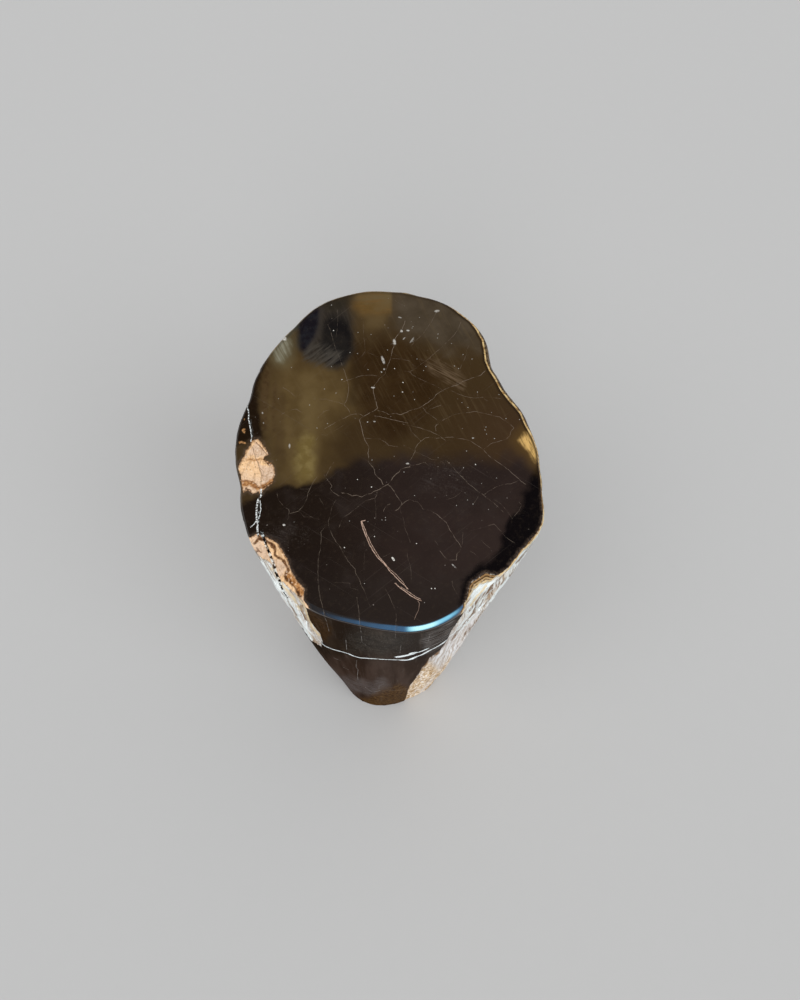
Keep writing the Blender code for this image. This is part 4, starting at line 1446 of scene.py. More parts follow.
def make_stone():
    mat = bpy.data.materials.new("petrified_wood")
    mat.use_nodes = True
    tree = mat.node_tree
    tree.nodes.clear()
    g = Graph(tree)
    pos = g.node("ShaderNodeTexCoord").outputs["Object"]
    grain_v = g.attr("grain")
    front_a, black_a, haze_a = g.split(g.attr("tone_a"))
    green_a, mass_a, olive_a = g.split(g.attr("tone_d"))
    black_left_a, mid_brown_a, faint_a = g.split(g.attr("tone_g"))
    across, forward, on_top = g.split(g.attr("drift"))

    n_cloud = g.noise(pos, 9.0, 3, 0.6)
    n_mid = g.noise(pos, 34.0, 3, 0.6)
    n_small = g.noise(pos, 110.0, 2, 0.6)
    n_fine = g.noise(pos, 260.0, 3, 0.65)
    n_grit = g.noise(pos, 900.0, 1, 0.6)

    def warped(x, amount, n=n_mid):
        return g.add(x, g.mul(g.add(n, -0.5), amount))

    def brushed(turn, fine, length, seed=0.0):
        """Noise drawn out in one direction across the top."""
        c, s = math.cos(math.radians(turn)), math.sin(math.radians(turn))
        u = g.add(g.mul(across, c), g.mul(forward, s))
        v = g.add(g.mul(across, -s), g.mul(forward, c))
        return g.noise(g.vec(g.mul(u, length), g.mul(v, fine), seed), 1.0, 2, 0.7)

    # polished top: brown back, blacker front. The brown of the back half, lighter at the back edge, and the soft
    # line where it meets the black front are a painted reflection of the room.
    col = g.mix(g.smooth(n_cloud, 0.35, 0.70, (0.0, 0.40)), (0.0405, 0.0230, 0.0085),
                (0.060, 0.038, 0.016))
    col = g.mix(g.smooth(warped(mid_brown_a, 20.0, n_cloud), -14.0, 12.0, (0.0, 0.92)), col,
                g.mix(g.smooth(n_mid, 0.36, 0.66), (0.0240, 0.0112, 0.0032), (0.0330, 0.0170, 0.0056)))
    col = g.mix(g.mul(g.smooth(across, 4.3, 5.2), g.smooth(forward, 3.7, 4.3)), col,
                (0.0480, 0.0262, 0.0120))
    # painted reflection: the olive patch on the left
    col = g.mix(g.smooth(warped(mass_a, 34.0, n_cloud), -26.0, 15.0, (0.0, 0.94)), col,
                g.mix(g.smooth(n_mid, 0.35, 0.65), (0.085, 0.053, 0.0185), (0.112, 0.073, 0.0280)))
    col = g.mix(g.smooth(forward, 3.48, 3.02, (0.0, 0.80)), col, (0.058, 0.039, 0.020))
    # painted reflection: the grey-brown sheen at the back right
    col = g.mix(g.smooth(warped(haze_a, 20.0), -12.0, 14.0, (0.0, 0.85)), col,
                g.mix(g.smooth(n_mid, 0.3, 0.7), (0.048, 0.036, 0.0235), (0.078, 0.060, 0.041)))
    sweep = brushed(62.0, 26.0, 2.2, 3.0)
    col = g.mix(g.mul(g.smooth(sweep, 0.50, 0.78), g.smooth(forward, 4.7, 4.0, (0.0, 0.30))), col,
                (0.115, 0.080, 0.040))
    # painted reflection of a golden-brown object at the back of the top, with a beige patch below it
    gold = g.mix(g.smooth(n_mid, 0.40, 0.68), (0.112, 0.062, 0.0165), (0.128, 0.082, 0.032))
    gold = g.mix(g.smooth(forward, 3.06, 2.98, (0.0, 0.5)), gold, (0.130, 0.098, 0.050))
    stripe = brushed(0.0, 34.0, 3.0, 21.0)
    gold = g.mix(g.smooth(stripe, 0.42, 0.66, (0.0, 0.50)), gold, (0.150, 0.078, 0.022))
    dark_reflection_a, beige_a, _ = g.split(g.attr("tone_h"))
    gold_a, gold_low_a, glow_a = g.split(g.attr("tone_e"))
    right_side = g.smooth(across, 3.905, 3.935, (1.0, 0.15))
    col = g.mix(g.mul(g.smooth(warped(gold_a, 8.0), -6.5, 6.0, (0.0, 0.95)), right_side), col, gold)
    col = g.mix(g.smooth(warped(gold_low_a, 9.0), -9.0, 7.0, (0.0, 0.35)), col, (0.085, 0.050, 0.016))
    col = g.mix(g.smooth(warped(beige_a, 9.0), -9.0, 5.0, (0.0, 0.45)), col, (0.135, 0.092, 0.040))
    tall = g.mul(g.smooth(g.math("ABSOLUTE", g.add(warped(across, 0.10), -3.09)), 0.14, 0.02),
                 g.mul(g.smooth(forward, 3.6, 4.1), g.smooth(forward, 4.85, 4.7)))
    col = g.mix(g.mul(tall, 0.45), col, (0.145, 0.100, 0.040))
    bar = g.mul(g.smooth(g.math("ABSOLUTE", g.add(warped(across, 0.10), -2.80)), 0.08, 0.02),
                g.mul(g.smooth(forward, 3.7, 4.0), g.smooth(forward, 4.8, 4.5)))
    col = g.mix(g.mul(bar, 0.40), col, (0.050, 0.028, 0.012))
    # painted highlight: the smaller olive patch within it
    col = g.mix(g.smooth(warped(olive_a, 10.0), -8.5, 7.5, (0.0, 0.95)), col,
                g.mix(g.smooth(n_small, 0.4, 0.65), (0.145, 0.100, 0.030), (0.195, 0.142, 0.050)))
    # painted reflection: the dark mirrored shapes at the back left, with painted brushed light between them
    fan_brush = brushed(144.0, 30.0, 4.0, 7.0)
    col = g.mix(g.smooth(warped(dark_reflection_a, 8.0), -6.0, 6.0, (0.0, 0.86)), col,
                g.mix(g.smooth(brushed(66.0, 40.0, 4.0, 17.0), 0.36, 0.66), (0.0150, 0.0142, 0.0140),
                      (0.0310, 0.0275, 0.0240)))
    slab_a, oval_a, rim_dark_a = g.split(g.attr("tone_b"))
    fan_a, streak_a, teal_a = g.split(g.attr("tone_c"))
    col = g.mix(g.smooth(warped(rim_dark_a, 6.0), -5.5, 4.0, (0.0, 0.72)), col,
                (0.0200, 0.0165, 0.0110))
    dark_l = g.smooth(warped(slab_a, 4.0), -4.5, 3.0, (0.0, 0.96))
    col = g.mix(dark_l, col, g.mix(g.smooth(n_small, 0.40, 0.62), (0.0030, 0.0036, 0.0085),
                                   (0.0085, 0.0100, 0.0150)))
    dark_r = g.smooth(warped(oval_a, 5.0), -6.0, 3.0, (0.0, 0.97))
    col = g.mix(dark_r, col, g.mix(g.smooth(n_mid, 0.40, 0.62), (0.0034, 0.0040, 0.0058),
                                   (0.0090, 0.0088, 0.0090)))
    col = g.mix(g.smooth(warped(streak_a, 3.5), -3.2, 2.6, (0.0, 0.62)), col, (0.042, 0.035, 0.029))
    fan = g.mul(g.smooth(warped(fan_a, 6.0), -4.0, 5.0), g.smooth(fan_brush, 0.36, 0.66))
    col = g.mix(g.mul(fan, 0.80), col, (0.062, 0.055, 0.046))
    # painted reflection: pale green and teal patches at the back left
    col = g.mix(g.smooth(warped(teal_a, 4.0, n_small), -4.0, 3.0, (0.0, 0.70)), col,
                (0.060, 0.072, 0.062))
    col = g.mix(g.smooth(warped(green_a, 6.0), -13.0, 6.0, (0.0, 0.62)), col, (0.130, 0.112, 0.062))
    green_reflection = g.mul(g.smooth(warped(green_a, 6.0, n_small), -3.5, 5.0, (0.0, 0.95)),
                  g.smooth(sweep, 0.36, 0.60, (0.30, 1.0)))
    col = g.mix(green_reflection, col, (0.235, 0.225, 0.165))
    col = g.mix(g.smooth(warped(black_left_a, 6.0, n_small), -6.0, 2.5, (0.0, 0.95)), col,
                (0.0090, 0.0040, 0.0014))
    brush_a, dust_a, bands_a = g.split(g.attr("tone_f"))
    col = g.mix(g.smooth(warped(bands_a, 4.0, n_small), -3.0, 2.5, (0.0, 0.75)), col,
                g.mix(g.smooth(n_small, 0.4, 0.6), (0.046, 0.025, 0.010), (0.072, 0.043, 0.018)))
    col = g.mix(g.smooth(warped(faint_a, 7.0), -5.0, 5.0, (0.0, 0.30)), col, (0.012, 0.007, 0.004))
    # brushed pale marks at the back right
    brush = g.mul(g.smooth(warped(brush_a, 7.0, n_small), -5.0, 5.0),
                  g.smooth(brushed(29.0, 46.0, 3.0, 1.0), 0.38, 0.64))
    col = g.mix(g.mul(brush, 0.85), col, (0.135, 0.092, 0.055))
    # black front
    front = g.mix(g.smooth(across, 2.9, 4.5), (0.0112, 0.0062, 0.0036), (0.0290, 0.0182, 0.0155))
    front = g.mix(g.smooth(forward, 5.4, 6.1, (0.0, 0.7)), front, (0.0195, 0.0142, 0.0118))
    front = g.mix(g.smooth(n_cloud, 0.58, 0.36, (0.0, 0.45)), front, (0.0120, 0.0075, 0.0062))
    front = g.mix(g.smooth(n_mid, 0.50, 0.72, (0.0, 0.35)), front, (0.0340, 0.0250, 0.0220))
    soft = g.smooth(across, 3.1, 3.9, (3.6, 11.0))
    col = g.mix(g.smooth(g.math("DIVIDE", warped(front_a, 9.0), soft), -1.0, 1.0), col, front)
    col = g.mix(g.smooth(warped(black_a, 12.0), -6.5, 1.5, (0.0, 0.97)), col,
                (0.0020, 0.0012, 0.0018))
    # painted highlight: a warm glint near the right edge
    glow_n = g.smooth(brushed(62.0, 60.0, 6.0, 11.0), 0.36, 0.56, (0.25, 1.0))
    glow_core = g.smooth(g.add(warped(glow_a, 5.0, n_small), -1.0), -3.0, 3.5)
    col = g.mix(g.smooth(warped(glow_a, 9.0), -15.0, 4.0, (0.0, 0.58)), col, (0.115, 0.064, 0.017))
    col = g.mix(g.mul(glow_core, glow_n), col, (0.70, 0.44, 0.15))
    # fine mottling and a sprinkle of pale dust
    col = g.mix(g.smooth(n_fine, 0.50, 0.85, (0.0, 0.16)), col, (0.085, 0.060, 0.038))
    n_dust = g.noise(pos, 620.0, 2, 0.7)
    cells = g.node("ShaderNodeTexVoronoi", {"Vector": pos, "Scale": 260.0}, feature="F1")
    pick, size, _ = g.split(cells.outputs["Color"])
    spot = g.smooth(cells.outputs["Distance"], g.add(0.13, g.mul(size, 0.10)), 0.04)
    dusty = g.smooth(warped(dust_a, 8.0), -8.0, 7.0)
    some = g.smooth(pick, g.add(0.945, g.mul(dusty, -0.22)), g.add(0.985, g.mul(dusty, -0.18)))
    col = g.mix(g.mul(g.mul(spot, some), g.add(0.20, g.mul(size, 0.42))), col, (0.42, 0.37, 0.33))
    col = g.mix(g.mul(dusty, g.smooth(n_dust, 0.52, 0.70, (0.0, 0.24))), col, (0.105, 0.085, 0.072))
    col = g.mix(g.mul(dusty, g.smooth(brushed(24.0, 40.0, 5.0, 9.0), 0.52, 0.72, (0.0, 0.22))), col,
                (0.080, 0.068, 0.062))
    hairline = g.smooth(brushed(-38.0, 95.0, 0.9, 5.0), 0.66, 0.72)
    hairline = g.math("MAXIMUM", hairline, g.smooth(brushed(31.0, 90.0, 0.8, 15.0), 0.67, 0.73))
    col = g.mix(g.mul(hairline, 0.16), col, (0.16, 0.13, 0.11))
    _, orange_a, _ = g.split(g.attr("extra"))
    col = g.mix(g.smooth(orange_a, -0.6, 0.5, (0.0, 0.85)), col,
                g.mix(g.smooth(n_fine, 0.4, 0.6), (0.10, 0.045, 0.015), (0.52, 0.27, 0.11)))

    # polished side: dark brown drawn out down the trunk
    skin_a, pocket_a, depth_a = g.split(g.attr("zones"))
    wall_amber_a, wall_grey_a, wall_foot_a = g.split(g.attr("wall_a"))
    wall_mid_a, wall_right_a, wall_low_a = g.split(g.attr("wall_b"))
    w_long = g.noise(g.scale(grain_v, (46.0, 46.0, 4.0)), 1.0, 4, 0.6)
    w_fine = g.noise(g.scale(grain_v, (330.0, 330.0, 20.0)), 1.0, 2, 0.6)
    w_blot = g.noise(g.scale(grain_v, (14.0, 14.0, 10.0)), 1.0, 3, 0.5)
    side = g.ramp(w_long, ((0.25, (0.010, 0.006, 0.004)), (0.42, (0.024, 0.014, 0.008)),
                           (0.56, (0.048, 0.027, 0.014)), (0.72, (0.095, 0.060, 0.032))))
    side = g.mix(g.smooth(w_fine, 0.50, 0.80, (0.0, 0.45)), side, (0.095, 0.064, 0.043))
    side = g.mix(g.smooth(w_blot, 0.52, 0.72, (0.0, 0.5)), side, (0.064, 0.050, 0.040))
    low = g.smooth(depth_a, 330.0, 480.0)
    side = g.mix(g.mul(low, 0.55), side, (0.085, 0.042, 0.018))
    w_cross = g.noise(g.scale(grain_v, (60.0, 60.0, 620.0)), 1.0, 2, 0.6)
    face = g.mix(g.smooth(w_long, 0.36, 0.66), (0.0150, 0.0085, 0.0048), (0.0320, 0.0205, 0.0128))
    face = g.mix(g.smooth(warped(wall_mid_a, 12.0), -10.0, 8.0, (0.0, 0.75)), face,
                 g.mix(g.smooth(n_small, 0.38, 0.64), (0.0215, 0.0172, 0.0135), (0.0400, 0.0325, 0.0255)))
    face = g.mix(g.mul(g.smooth(warped(wall_mid_a, 12.0), -18.0, 0.0), g.smooth(n_grit, 0.60, 0.70, (0.0, 0.30))),
                 face, (0.20, 0.19, 0.18))
    # lighter grey-brown low on the front wall: the stone's brown with a painted reflection of the floor
    face = g.mix(g.smooth(warped(wall_low_a, 8.0), -6.0, 12.0, (0.0, 0.9)), face,
                 g.mix(g.smooth(w_long, 0.36, 0.64), (0.030, 0.0165, 0.0105), (0.060, 0.038, 0.029)))
    face = g.mix(g.smooth(warped(wall_amber_a, 6.0), -4.0, 4.0, (0.0, 0.92)), face,
                 g.mix(g.smooth(n_fine, 0.40, 0.62), (0.0270, 0.0120, 0.0036), (0.0480, 0.0250, 0.0090)))
    face = g.mix(g.mul(g.smooth(warped(wall_right_a, 6.0), -7.0, 4.0), g.smooth(w_cross, 0.44, 0.62)),
                 face, (0.155, 0.142, 0.135))
    # grey strokes near the foot of the front wall: the stone's brown with a painted reflection of the floor
    face = g.mix(g.mul(g.smooth(warped(wall_grey_a, 9.0), -6.0, 4.0), g.smooth(w_cross, 0.40, 0.62, (0.15, 0.75))),
                 face, (0.125, 0.108, 0.105))
    face = g.mix(g.smooth(warped(wall_foot_a, 6.0), -5.0, 4.0, (0.0, 0.85)), face,
                 g.mix(g.smooth(n_fine, 0.38, 0.66), (0.036, 0.016, 0.005), (0.125, 0.066, 0.022)))
    face = g.mix(g.smooth(w_fine, 0.56, 0.80, (0.0, 0.24)), face, (0.110, 0.086, 0.070))
    side = g.mix(g.smooth(wall_low_a, -59.9, -59.0), side, face)
    col = g.mix(on_top, side, col)
    # along the right and back edge: a dark line inside, a brown strip outside, and a gold line that is a painted
    # highlight
    rim_tone_and_light_a, rim_line_px_a, _ = g.split(g.attr("tone_and_painted_light"))
    rim_px = g.add(rim_line_px_a, g.mul(g.add(n_small, -0.5), 1.3))
    inner_dark = g.mul(g.smooth(rim_px, 0.3, 1.1), g.smooth(rim_px, 4.0, 1.6))
    col = g.mix(g.mul(g.mul(inner_dark, rim_tone_and_light_a), 0.80), col, (0.018, 0.010, 0.005))
    outer = g.mul(g.smooth(rim_px, -0.6, -1.3), rim_tone_and_light_a)
    col = g.mix(g.mul(outer, 0.85), col,
                g.mix(g.smooth(n_fine, 0.42, 0.60), (0.038, 0.024, 0.014), (0.150, 0.105, 0.062)))
    # the gold line, a painted highlight
    line = g.mul(g.smooth(g.math("ABSOLUTE", rim_px), 1.05, 0.35), rim_tone_and_light_a)
    col = g.mix(g.mul(line, g.smooth(n_small, 0.30, 0.52, (0.50, 1.0))), col,
                g.mix(g.smooth(n_fine, 0.36, 0.56), (0.36, 0.205, 0.070), (0.74, 0.54, 0.26)))

    # pockets: pale stone, amber and rust along the edges
    rust_a, amber_a, pinkish_a = g.split(g.attr("pocket_tone"))
    ledge_a, _, _ = g.split(g.attr("extra"))
    p_noise = g.noise(pos, 95.0, 3, 0.6, 0.8)
    p_big = g.noise(pos, 30.0, 2, 0.5)
    p_fine = g.noise(pos, 420.0, 3, 0.6)
    p_line = g.noise(g.scale(pos, (520.0, 130.0, 130.0)), 1.0, 2, 0.6)

    def pw(x, amount=2.6):
        return g.add(x, g.mul(g.add(p_noise, -0.5), amount))

    p_col = g.mix(g.smooth(p_big, 0.38, 0.62), (0.90, 0.585, 0.32), (0.84, 0.60, 0.41))
    p_col = g.mix(g.smooth(pw(pinkish_a, 4.0), -1.4, 1.6, (0.0, 0.85)), p_col, (0.70, 0.505, 0.365))
    p_col = g.mix(g.smooth(p_line, 0.50, 0.38, (0.0, 0.45)), p_col, (0.40, 0.23, 0.12))
    p_col = g.mix(g.smooth(pw(amber_a, 4.6), -1.2, 1.2, (0.0, 0.92)), p_col,
                  g.mix(g.smooth(p_fine, 0.4, 0.6), (0.28, 0.105, 0.026), (0.52, 0.250, 0.085)))
    p_col = g.mix(g.smooth(pw(rust_a, 3.6), -1.0, 0.6, (0.0, 0.96)), p_col,
                  g.mix(g.smooth(p_fine, 0.38, 0.60), (0.050, 0.018, 0.007), (0.200, 0.085, 0.030)))
    p_col = g.mix(g.smooth(pw(pocket_a, 2.6), 1.9, 0.35, (0.0, 0.90)), p_col,
                  g.mix(g.smooth(p_fine, 0.42, 0.58), (0.11, 0.050, 0.022), (0.42, 0.235, 0.115)))
    p_col = g.mix(g.smooth(p_fine, 0.60, 0.70, (0.0, 0.55)), p_col, (0.95, 0.82, 0.68))
    p_col = g.mix(g.smooth(p_fine, 0.39, 0.30, (0.0, 0.75)), p_col, (0.12, 0.055, 0.022))
    inward = g.add(ledge_a, g.mul(g.add(p_noise, -0.5), 1.8))
    shelf = g.mix(g.smooth(inward, 0.6, 1.2), (0.060, 0.033, 0.016), (0.30, 0.175, 0.075))
    shelf = g.mix(g.smooth(inward, 1.9, 2.5), shelf, (0.085, 0.045, 0.018))
    shelf = g.mix(g.smooth(inward, 3.1, 3.8), shelf, (0.46, 0.31, 0.155))
    shelf = g.mix(g.smooth(inward, 4.6, 5.2), shelf, (0.15, 0.085, 0.036))
    shelf = g.mix(g.smooth(inward, 5.6, 6.4), shelf, (0.66, 0.52, 0.33))
    shelf = g.mix(g.smooth(p_fine, 0.58, 0.66, (0.0, 0.6)), shelf, (0.70, 0.64, 0.54))
    shelf = g.mix(g.smooth(skin_a, -1.3, -0.5), shelf, (0.78, 0.60, 0.34))
    p_col = g.mix(g.smooth(ledge_a, -1.5, 0.0), p_col, shelf)
    pocket_e = g.add(pocket_a, g.mul(g.add(p_fine, -0.5), 1.6))
    pocket_m = g.smooth(pocket_e, -0.15, 0.45)
    # painted shade round the pockets: a soft greyish-tan fringe just outside their edges
    pocket_shade = g.mul(g.smooth(pw(pocket_a, 5.0), -4.2, -0.4), g.smooth(p_fine, 0.40, 0.62, (0.25, 1.0)))
    col = g.mix(g.mul(pocket_shade, 0.55), col, (0.115, 0.078, 0.056))
    col = g.mix(pocket_m, col, p_col)

    # fibrous skin
    tan_a, strip_pink_a, strip_brown_a = g.split(g.attr("strip_a"))
    strip_white_a, strip_cream_a, strip_bits_a = g.split(g.attr("strip_b"))
    _, _, cool_a = g.split(g.attr("tone_and_painted_light"))
    s_broad = g.noise(g.scale(grain_v, (44.0, 44.0, 5.0)), 1.0, 3, 0.6)
    s_mid = g.noise(g.scale(grain_v, (135.0, 135.0, 7.0)), 1.0, 2, 0.6)
    s_fibre = g.noise(g.scale(grain_v, (430.0, 430.0, 11.0)), 1.0, 3, 0.65)
    s_hair = g.noise(g.scale(grain_v, (1200.0, 1200.0, 34.0)), 1.0, 2, 0.6)
    s_knot = g.noise(g.scale(grain_v, (90.0, 90.0, 60.0)), 1.0, 3, 0.6)
    tone = g.add(g.add(g.mul(s_fibre, 0.30), g.mul(s_mid, 0.45)), g.mul(s_broad, 0.25))
    fibre_col = g.ramp(tone, ((0.34, (0.14, 0.078, 0.040)), (0.405, (0.40, 0.28, 0.175)),
                              (0.45, (0.64, 0.56, 0.45)), (0.50, (0.78, 0.77, 0.74)),
                              (0.60, (0.88, 0.91, 0.91))))
    fibre_col = g.mix(g.smooth(s_hair, 0.50, 0.70, (0.0, 0.55)), fibre_col, (0.86, 0.88, 0.88))
    fibre_col = g.mix(g.smooth(s_hair, 0.46, 0.32, (0.0, 0.55)), fibre_col, (0.16, 0.095, 0.055))
    goldy = g.smooth(g.noise(g.scale(grain_v, (24.0, 24.0, 16.0)), 1.0, 3, 0.5), 0.52, 0.68)
    fibre_col = g.mix(g.mul(goldy, 0.5), fibre_col, (0.56, 0.36, 0.16))
    fibre_col = g.mix(g.smooth(s_knot, 0.60, 0.70, (0.0, 0.55)), fibre_col, (0.30, 0.18, 0.10))
    # painted cool light on the outer side of the strips
    fibre_col = g.mix(g.mul(cool_a, 0.68), fibre_col,
                      g.mix(g.smooth(s_fibre, 0.40, 0.60), (0.44, 0.51, 0.54), (0.76, 0.87, 0.90)))
    brim = g.mul(g.smooth(skin_a, 14.0, 1.0), g.smooth(s_mid, 0.40, 0.56))
    fibre_col = g.mix(g.mul(brim, g.smooth(depth_a, 20.0, 60.0, (0.0, 0.60))), fibre_col, (0.22, 0.135, 0.080))
    fibre_col = g.mix(g.smooth(strip_pink_a, -4.0, 4.0, (0.0, 0.62)), fibre_col,
                      g.mix(g.smooth(s_fibre, 0.40, 0.58), (0.52, 0.46, 0.44), (0.84, 0.83, 0.84)))
    crumb = g.noise(g.scale(grain_v, (250.0, 250.0, 95.0)), 1.0, 3, 0.65, 0.6)
    tan = g.mix(g.smooth(crumb, 0.36, 0.58), (0.36, 0.205, 0.085), (0.80, 0.60, 0.38))
    tan = g.mix(g.smooth(crumb, 0.54, 0.62, (0.0, 0.8)), tan, (0.94, 0.90, 0.86))
    tan = g.mix(g.smooth(s_broad, 0.50, 0.66, (0.0, 0.7)), tan, (0.80, 0.75, 0.72))
    tan_e = g.add(warped(tan_a, 12.0), g.mul(g.add(s_mid, -0.5), 16.0))
    fibre_col = g.mix(g.smooth(tan_e, -7.0, 4.0, (0.0, 0.88)), fibre_col, tan)
    # the white of the strips: pale fibres, with a painted cool highlight
    fibre_col = g.mix(g.smooth(warped(strip_white_a, 2.0, n_fine), -1.0, 1.0, (0.0, 0.90)), fibre_col,
                      g.mix(g.smooth(s_hair, 0.38, 0.52), (0.62, 0.66, 0.66), (0.90, 0.96, 0.96)))
    threads = g.smooth(s_fibre, 0.44, 0.56, (0.95, 0.22))
    fibre_col = g.mix(g.mul(g.smooth(warped(strip_brown_a, 1.5, n_fine), -0.9, 0.5), threads), fibre_col,
                      (0.20, 0.110, 0.055))
    fibre_col = g.mix(g.smooth(warped(strip_cream_a, 1.5, n_fine), -0.8, 0.5, (0.0, 0.85)), fibre_col,
                      (0.74, 0.60, 0.38))
    fibre_col = g.mix(g.smooth(warped(strip_bits_a, 3.0, n_fine), -1.0, 1.0, (0.0, 0.6)), fibre_col,
                      g.mix(g.smooth(n_fine, 0.45, 0.55), (0.25, 0.14, 0.08), (0.80, 0.80, 0.78)))
    skin_m = g.smooth(g.add(skin_a, g.mul(g.add(s_fibre, -0.5), 7.0)), -0.5, 1.0)
    skin_m = g.math("MAXIMUM", skin_m, 0.0)
    col = g.mix(skin_m, col, fibre_col)

    # cracks, chips and scratches
    hair_a, white_a, chip_a = g.split(g.attr("marks"))
    open_a, scratch_a, seam_a = g.split(g.attr("marks2"))
    dash = g.smooth(g.noise(pos, 150.0, 3, 0.65), 0.34, 0.60, (0.30, 1.0))
    h = g.mul(hair_a, dash)
    col = g.mix(g.smooth(h, 0.05, 0.56, (0.0, 0.86)), col,
                g.mix(on_top, (0.300, 0.280, 0.265), (0.235, 0.185, 0.145)))
    col = g.mix(g.smooth(seam_a, 0.05, 0.60, (0.0, 0.85)), col,
                g.mix(g.smooth(n_fine, 0.42, 0.58), (0.16, 0.070, 0.030), (0.36, 0.23, 0.15)))
    crystal = g.noise(pos, 520.0, 2, 0.6)
    frost = g.mix(on_top, g.mix(g.smooth(crystal, 0.30, 0.44), (0.42, 0.42, 0.42), (0.90, 0.97, 0.99)),
                  g.mix(g.smooth(crystal, 0.44, 0.53), (0.075, 0.062, 0.052), (0.84, 0.88, 0.88)))
    col = g.mix(g.smooth(g.add(white_a, g.mul(g.add(crystal, -0.5), 0.5)), 0.10, 0.45), col, frost)
    col = g.mix(g.smooth(scratch_a, 0.08, 0.55, (0.0, 0.95)), col,
                g.mix(g.smooth(n_grit, 0.35, 0.6), (0.28, 0.18, 0.13), (0.60, 0.42, 0.33)))
    chip_e = g.mul(g.math("MULTIPLY", chip_a, 1.05, clamp=True), g.smooth(crystal, 0.34, 0.50, (0.20, 1.0)))
    col = g.mix(chip_e, col, (0.78, 0.76, 0.71))
    vein = g.noise(pos, 230.0, 3, 0.65)
    gap = g.mul(g.smooth(open_a, 0.10, 0.40), g.smooth(vein, 0.56, 0.48))
    col = g.mix(g.mul(g.smooth(open_a, 0.05, 0.35), g.smooth(vein, 0.50, 0.58, (0.0, 0.75))), col,
                (0.78, 0.86, 0.87))
    col = g.mix(gap, col, (0.006, 0.005, 0.005))

    # roughness
    rough_zone = g.math("MAXIMUM", skin_m, pocket_m)
    rough = g.blend(on_top, 0.26, 0.13)
    rough = g.add(rough, g.mul(g.smooth(n_fine, 0.4, 0.8), 0.05))
    rough = g.blend(rough_zone, rough, 0.72)
    marks = g.math("MAXIMUM", g.math("MAXIMUM", h, white_a), g.math("MAXIMUM", scratch_a, chip_a))
    rough = g.math("ADD", rough, g.mul(marks, 0.35), clamp=True)

    # bump
    skin_h = g.add(g.add(g.mul(s_fibre, 0.7), g.mul(s_hair, 0.35)), g.mul(s_mid, 0.9))
    pocket_h = g.mul(p_fine, 0.9)
    height = g.add(g.mul(skin_m, skin_h), g.mul(pocket_m, pocket_h))
    bump = g.node("ShaderNodeBump", {"Height": height, "Strength": 0.8, "Distance": 0.0012})

    _, _, shine_a = g.split(g.attr("extra"))
    gloss = g.math("SUBTRACT", 1.0, g.math("MAXIMUM", rough_zone, g.mul(marks, 0.9)), clamp=True)
    coat = g.mul(gloss, shine_a)
    bsdf = g.node("ShaderNodeBsdfPrincipled",
                  {"Base Color": col, "Roughness": rough, "Normal": bump.outputs[0],
                   "Coat Weight": coat, "Coat Roughness": 0.08, "Coat IOR": 2.4,
                   "IOR": 1.5, "Specular IOR Level": 0.0})
    g.node("ShaderNodeOutputMaterial", {"Surface": bsdf.outputs[0]})
    return mat


mesh.materials.append(make_stone())

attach(stump, "root")
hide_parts("petrified_wood_stump")

# ---- floor --------------------------------------------------------------------------------------
floor_mesh = bpy.data.meshes.new("floor")
n = 96
ring = [(14 * math.cos(2 * math.pi * k / n), 14 * math.sin(2 * math.pi * k / n), -0.0004)
        for k in range(n)]
floor_mesh.from_pydata(ring, [], [tuple(range(n))])
floor = bpy.data.objects.new("floor", floor_mesh)
bpy.context.scene.collection.objects.link(floor)
fmat = bpy.data.materials.new("pale_floor")
fmat.use_nodes = True
fg = Graph(fmat.node_tree)
fb = fmat.node_tree.nodes["Principled BSDF"]
fpos = fg.node("ShaderNodeTexCoord").outputs["Object"]
pale = fg.mix(fg.noise(fpos, 40.0, 4, 0.6), (0.530, 0.530, 0.530), (0.538, 0.538, 0.538))
fg.put(fb.inputs["Base Color"], pale)
fb.inputs["Roughness"].default_value = 0.85
fb.inputs["Specular IOR Level"].default_value = 0.0
floor_mesh.materials.append(fmat)

# ---- light ----------------------------------------------------------------------------------------
scene = bpy.context.scene
world = bpy.data.worlds.new("studio")
scene.world = world
world.use_nodes = True
world.node_tree.nodes.clear()
w = Graph(world.node_tree)
direction = w.node("ShaderNodeTexCoord").outputs["Generated"]


def toward(az, el):
    a, e = math.radians(az), math.radians(el)
    return (math.cos(a) * math.cos(e), math.sin(a) * math.cos(e), math.sin(e))


def cap(az, el, inner, outer):
    """1 within inner degrees of a direction, 0 beyond outer."""
    n = w.node("ShaderNodeVectorMath", {0: direction, 1: toward(az, el)}, operation="DOT_PRODUCT")
    return w.smooth(n.outputs["Value"], math.cos(math.radians(outer)), math.cos(math.radians(inner)))


east, north, up = w.split(direction)
turn = w.math("ARCTAN2", north, east)                  # -pi..pi, -pi/2 is the front
# what the polish mirrors: pale sides, a dark card over the stump and a cool window to the
# front right, deepest blue at its left end
mirror = w.mix(w.smooth(up, 0.02, 0.30), (0.50, 0.50, 0.50), (0.80, 0.79, 0.77))
mirror = w.mix(cap(90, 66, 34, 48), mirror, (0.050, 0.048, 0.046))
mirror = w.mix(cap(270, 52, 48, 60), mirror, (0.055, 0.075, 0.095))
mirror = w.mix(cap(92, 43, 8, 17), mirror, (0.12, 0.08, 0.045))
rad = math.radians
band = w.mul(w.smooth(up, math.sin(rad(10)), math.sin(rad(18))),
             w.smooth(up, math.sin(rad(72)), math.sin(rad(42))))
bright = w.mul(w.smooth(up, math.sin(rad(14)), math.sin(rad(24))),
               w.smooth(up, math.sin(rad(52)), math.sin(rad(36))))
blue = w.mul(band, w.mul(w.smooth(turn, rad(-134), rad(-90)), w.smooth(turn, rad(-12), rad(-28))))
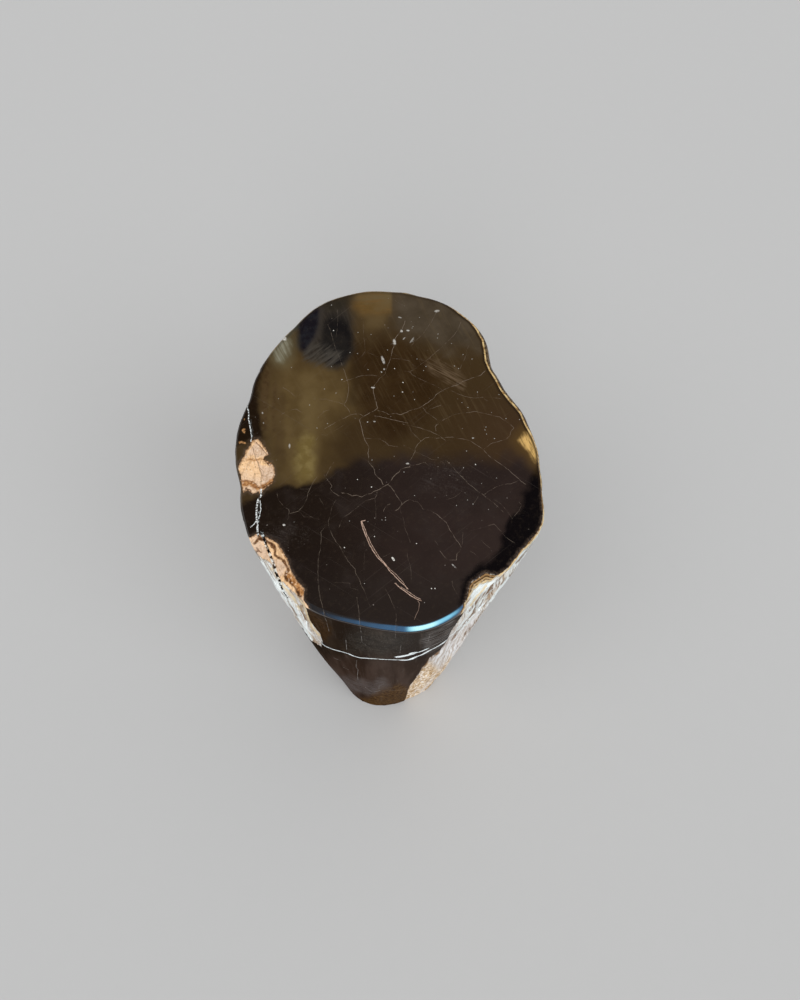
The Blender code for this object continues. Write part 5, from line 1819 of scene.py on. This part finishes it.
cyan = w.mul(bright, w.mul(w.smooth(turn, rad(-95), rad(-81)), w.smooth(turn, rad(-30), rad(-46))))
core = w.mul(w.mul(w.smooth(up, math.sin(rad(15)), math.sin(rad(24))),
                   w.smooth(up, math.sin(rad(44)), math.sin(rad(34)))),
             w.mul(w.smooth(turn, rad(-90), rad(-78)), w.smooth(turn, rad(-50), rad(-64))))
mirror = w.mix(blue, mirror, (0.20, 0.66, 1.30))
mirror = w.mix(cyan, mirror, (1.3, 3.6, 4.9))
mirror = w.mix(core, mirror, (3.4, 6.2, 6.6))
ray = w.node("ShaderNodeLightPath")
backdrop = w.mix(w.smooth(up, 0.0, 0.5), (0.54, 0.54, 0.54), (0.60, 0.60, 0.60))
sky = w.mix(ray.outputs["Is Glossy Ray"], (0.53, 0.53, 0.53), mirror)
sky = w.mix(ray.outputs["Is Camera Ray"], sky, backdrop)
bg = w.node("ShaderNodeBackground", {"Color": sky, "Strength": 1.0})
w.node("ShaderNodeOutputWorld", {"Surface": bg.outputs[0]})


def soft_lamp(name, az, el, energy, angle, colour):
    lamp = bpy.data.lights.new(name, "SUN")
    lamp.energy, lamp.angle, lamp.color = energy, math.radians(angle), colour
    ob = bpy.data.objects.new(name, lamp)
    scene.collection.objects.link(ob)
    ob.rotation_mode = "QUATERNION"
    ob.rotation_quaternion = Vector(toward(az, el)).to_track_quat("Z", "Y")
    ob.visible_glossy = False


soft_lamp("key", 224, 54, 0.68, 46, (1.0, 0.99, 0.975))
soft_lamp("front", 268, 33, 0.85, 36, (1.0, 1.0, 1.0))
soft_lamp("right", 318, 42, 0.84, 40, (0.96, 0.99, 1.0))

# ---- camera ---------------------------------------------------------------------------------------
camera = bpy.data.cameras.new("camera")
camera.lens = 28.0
camera.sensor_width = 28.0 * 1000.0 / FOCAL_PX
camera.sensor_fit = "AUTO"
camera.clip_start, camera.clip_end = 0.01, 60.0
cam = bpy.data.objects.new("camera", camera)
scene.collection.objects.link(cam)
cam.location = CAM
cam.rotation_euler = (math.radians(90 - 62.0), 0, 0)
scene.camera = cam

scene.view_settings.view_transform = "Standard"
scene.view_settings.look = "None"
scene.view_settings.exposure = 0.0
scene.view_settings.gamma = 1.0

bpy.context.view_layer.update()
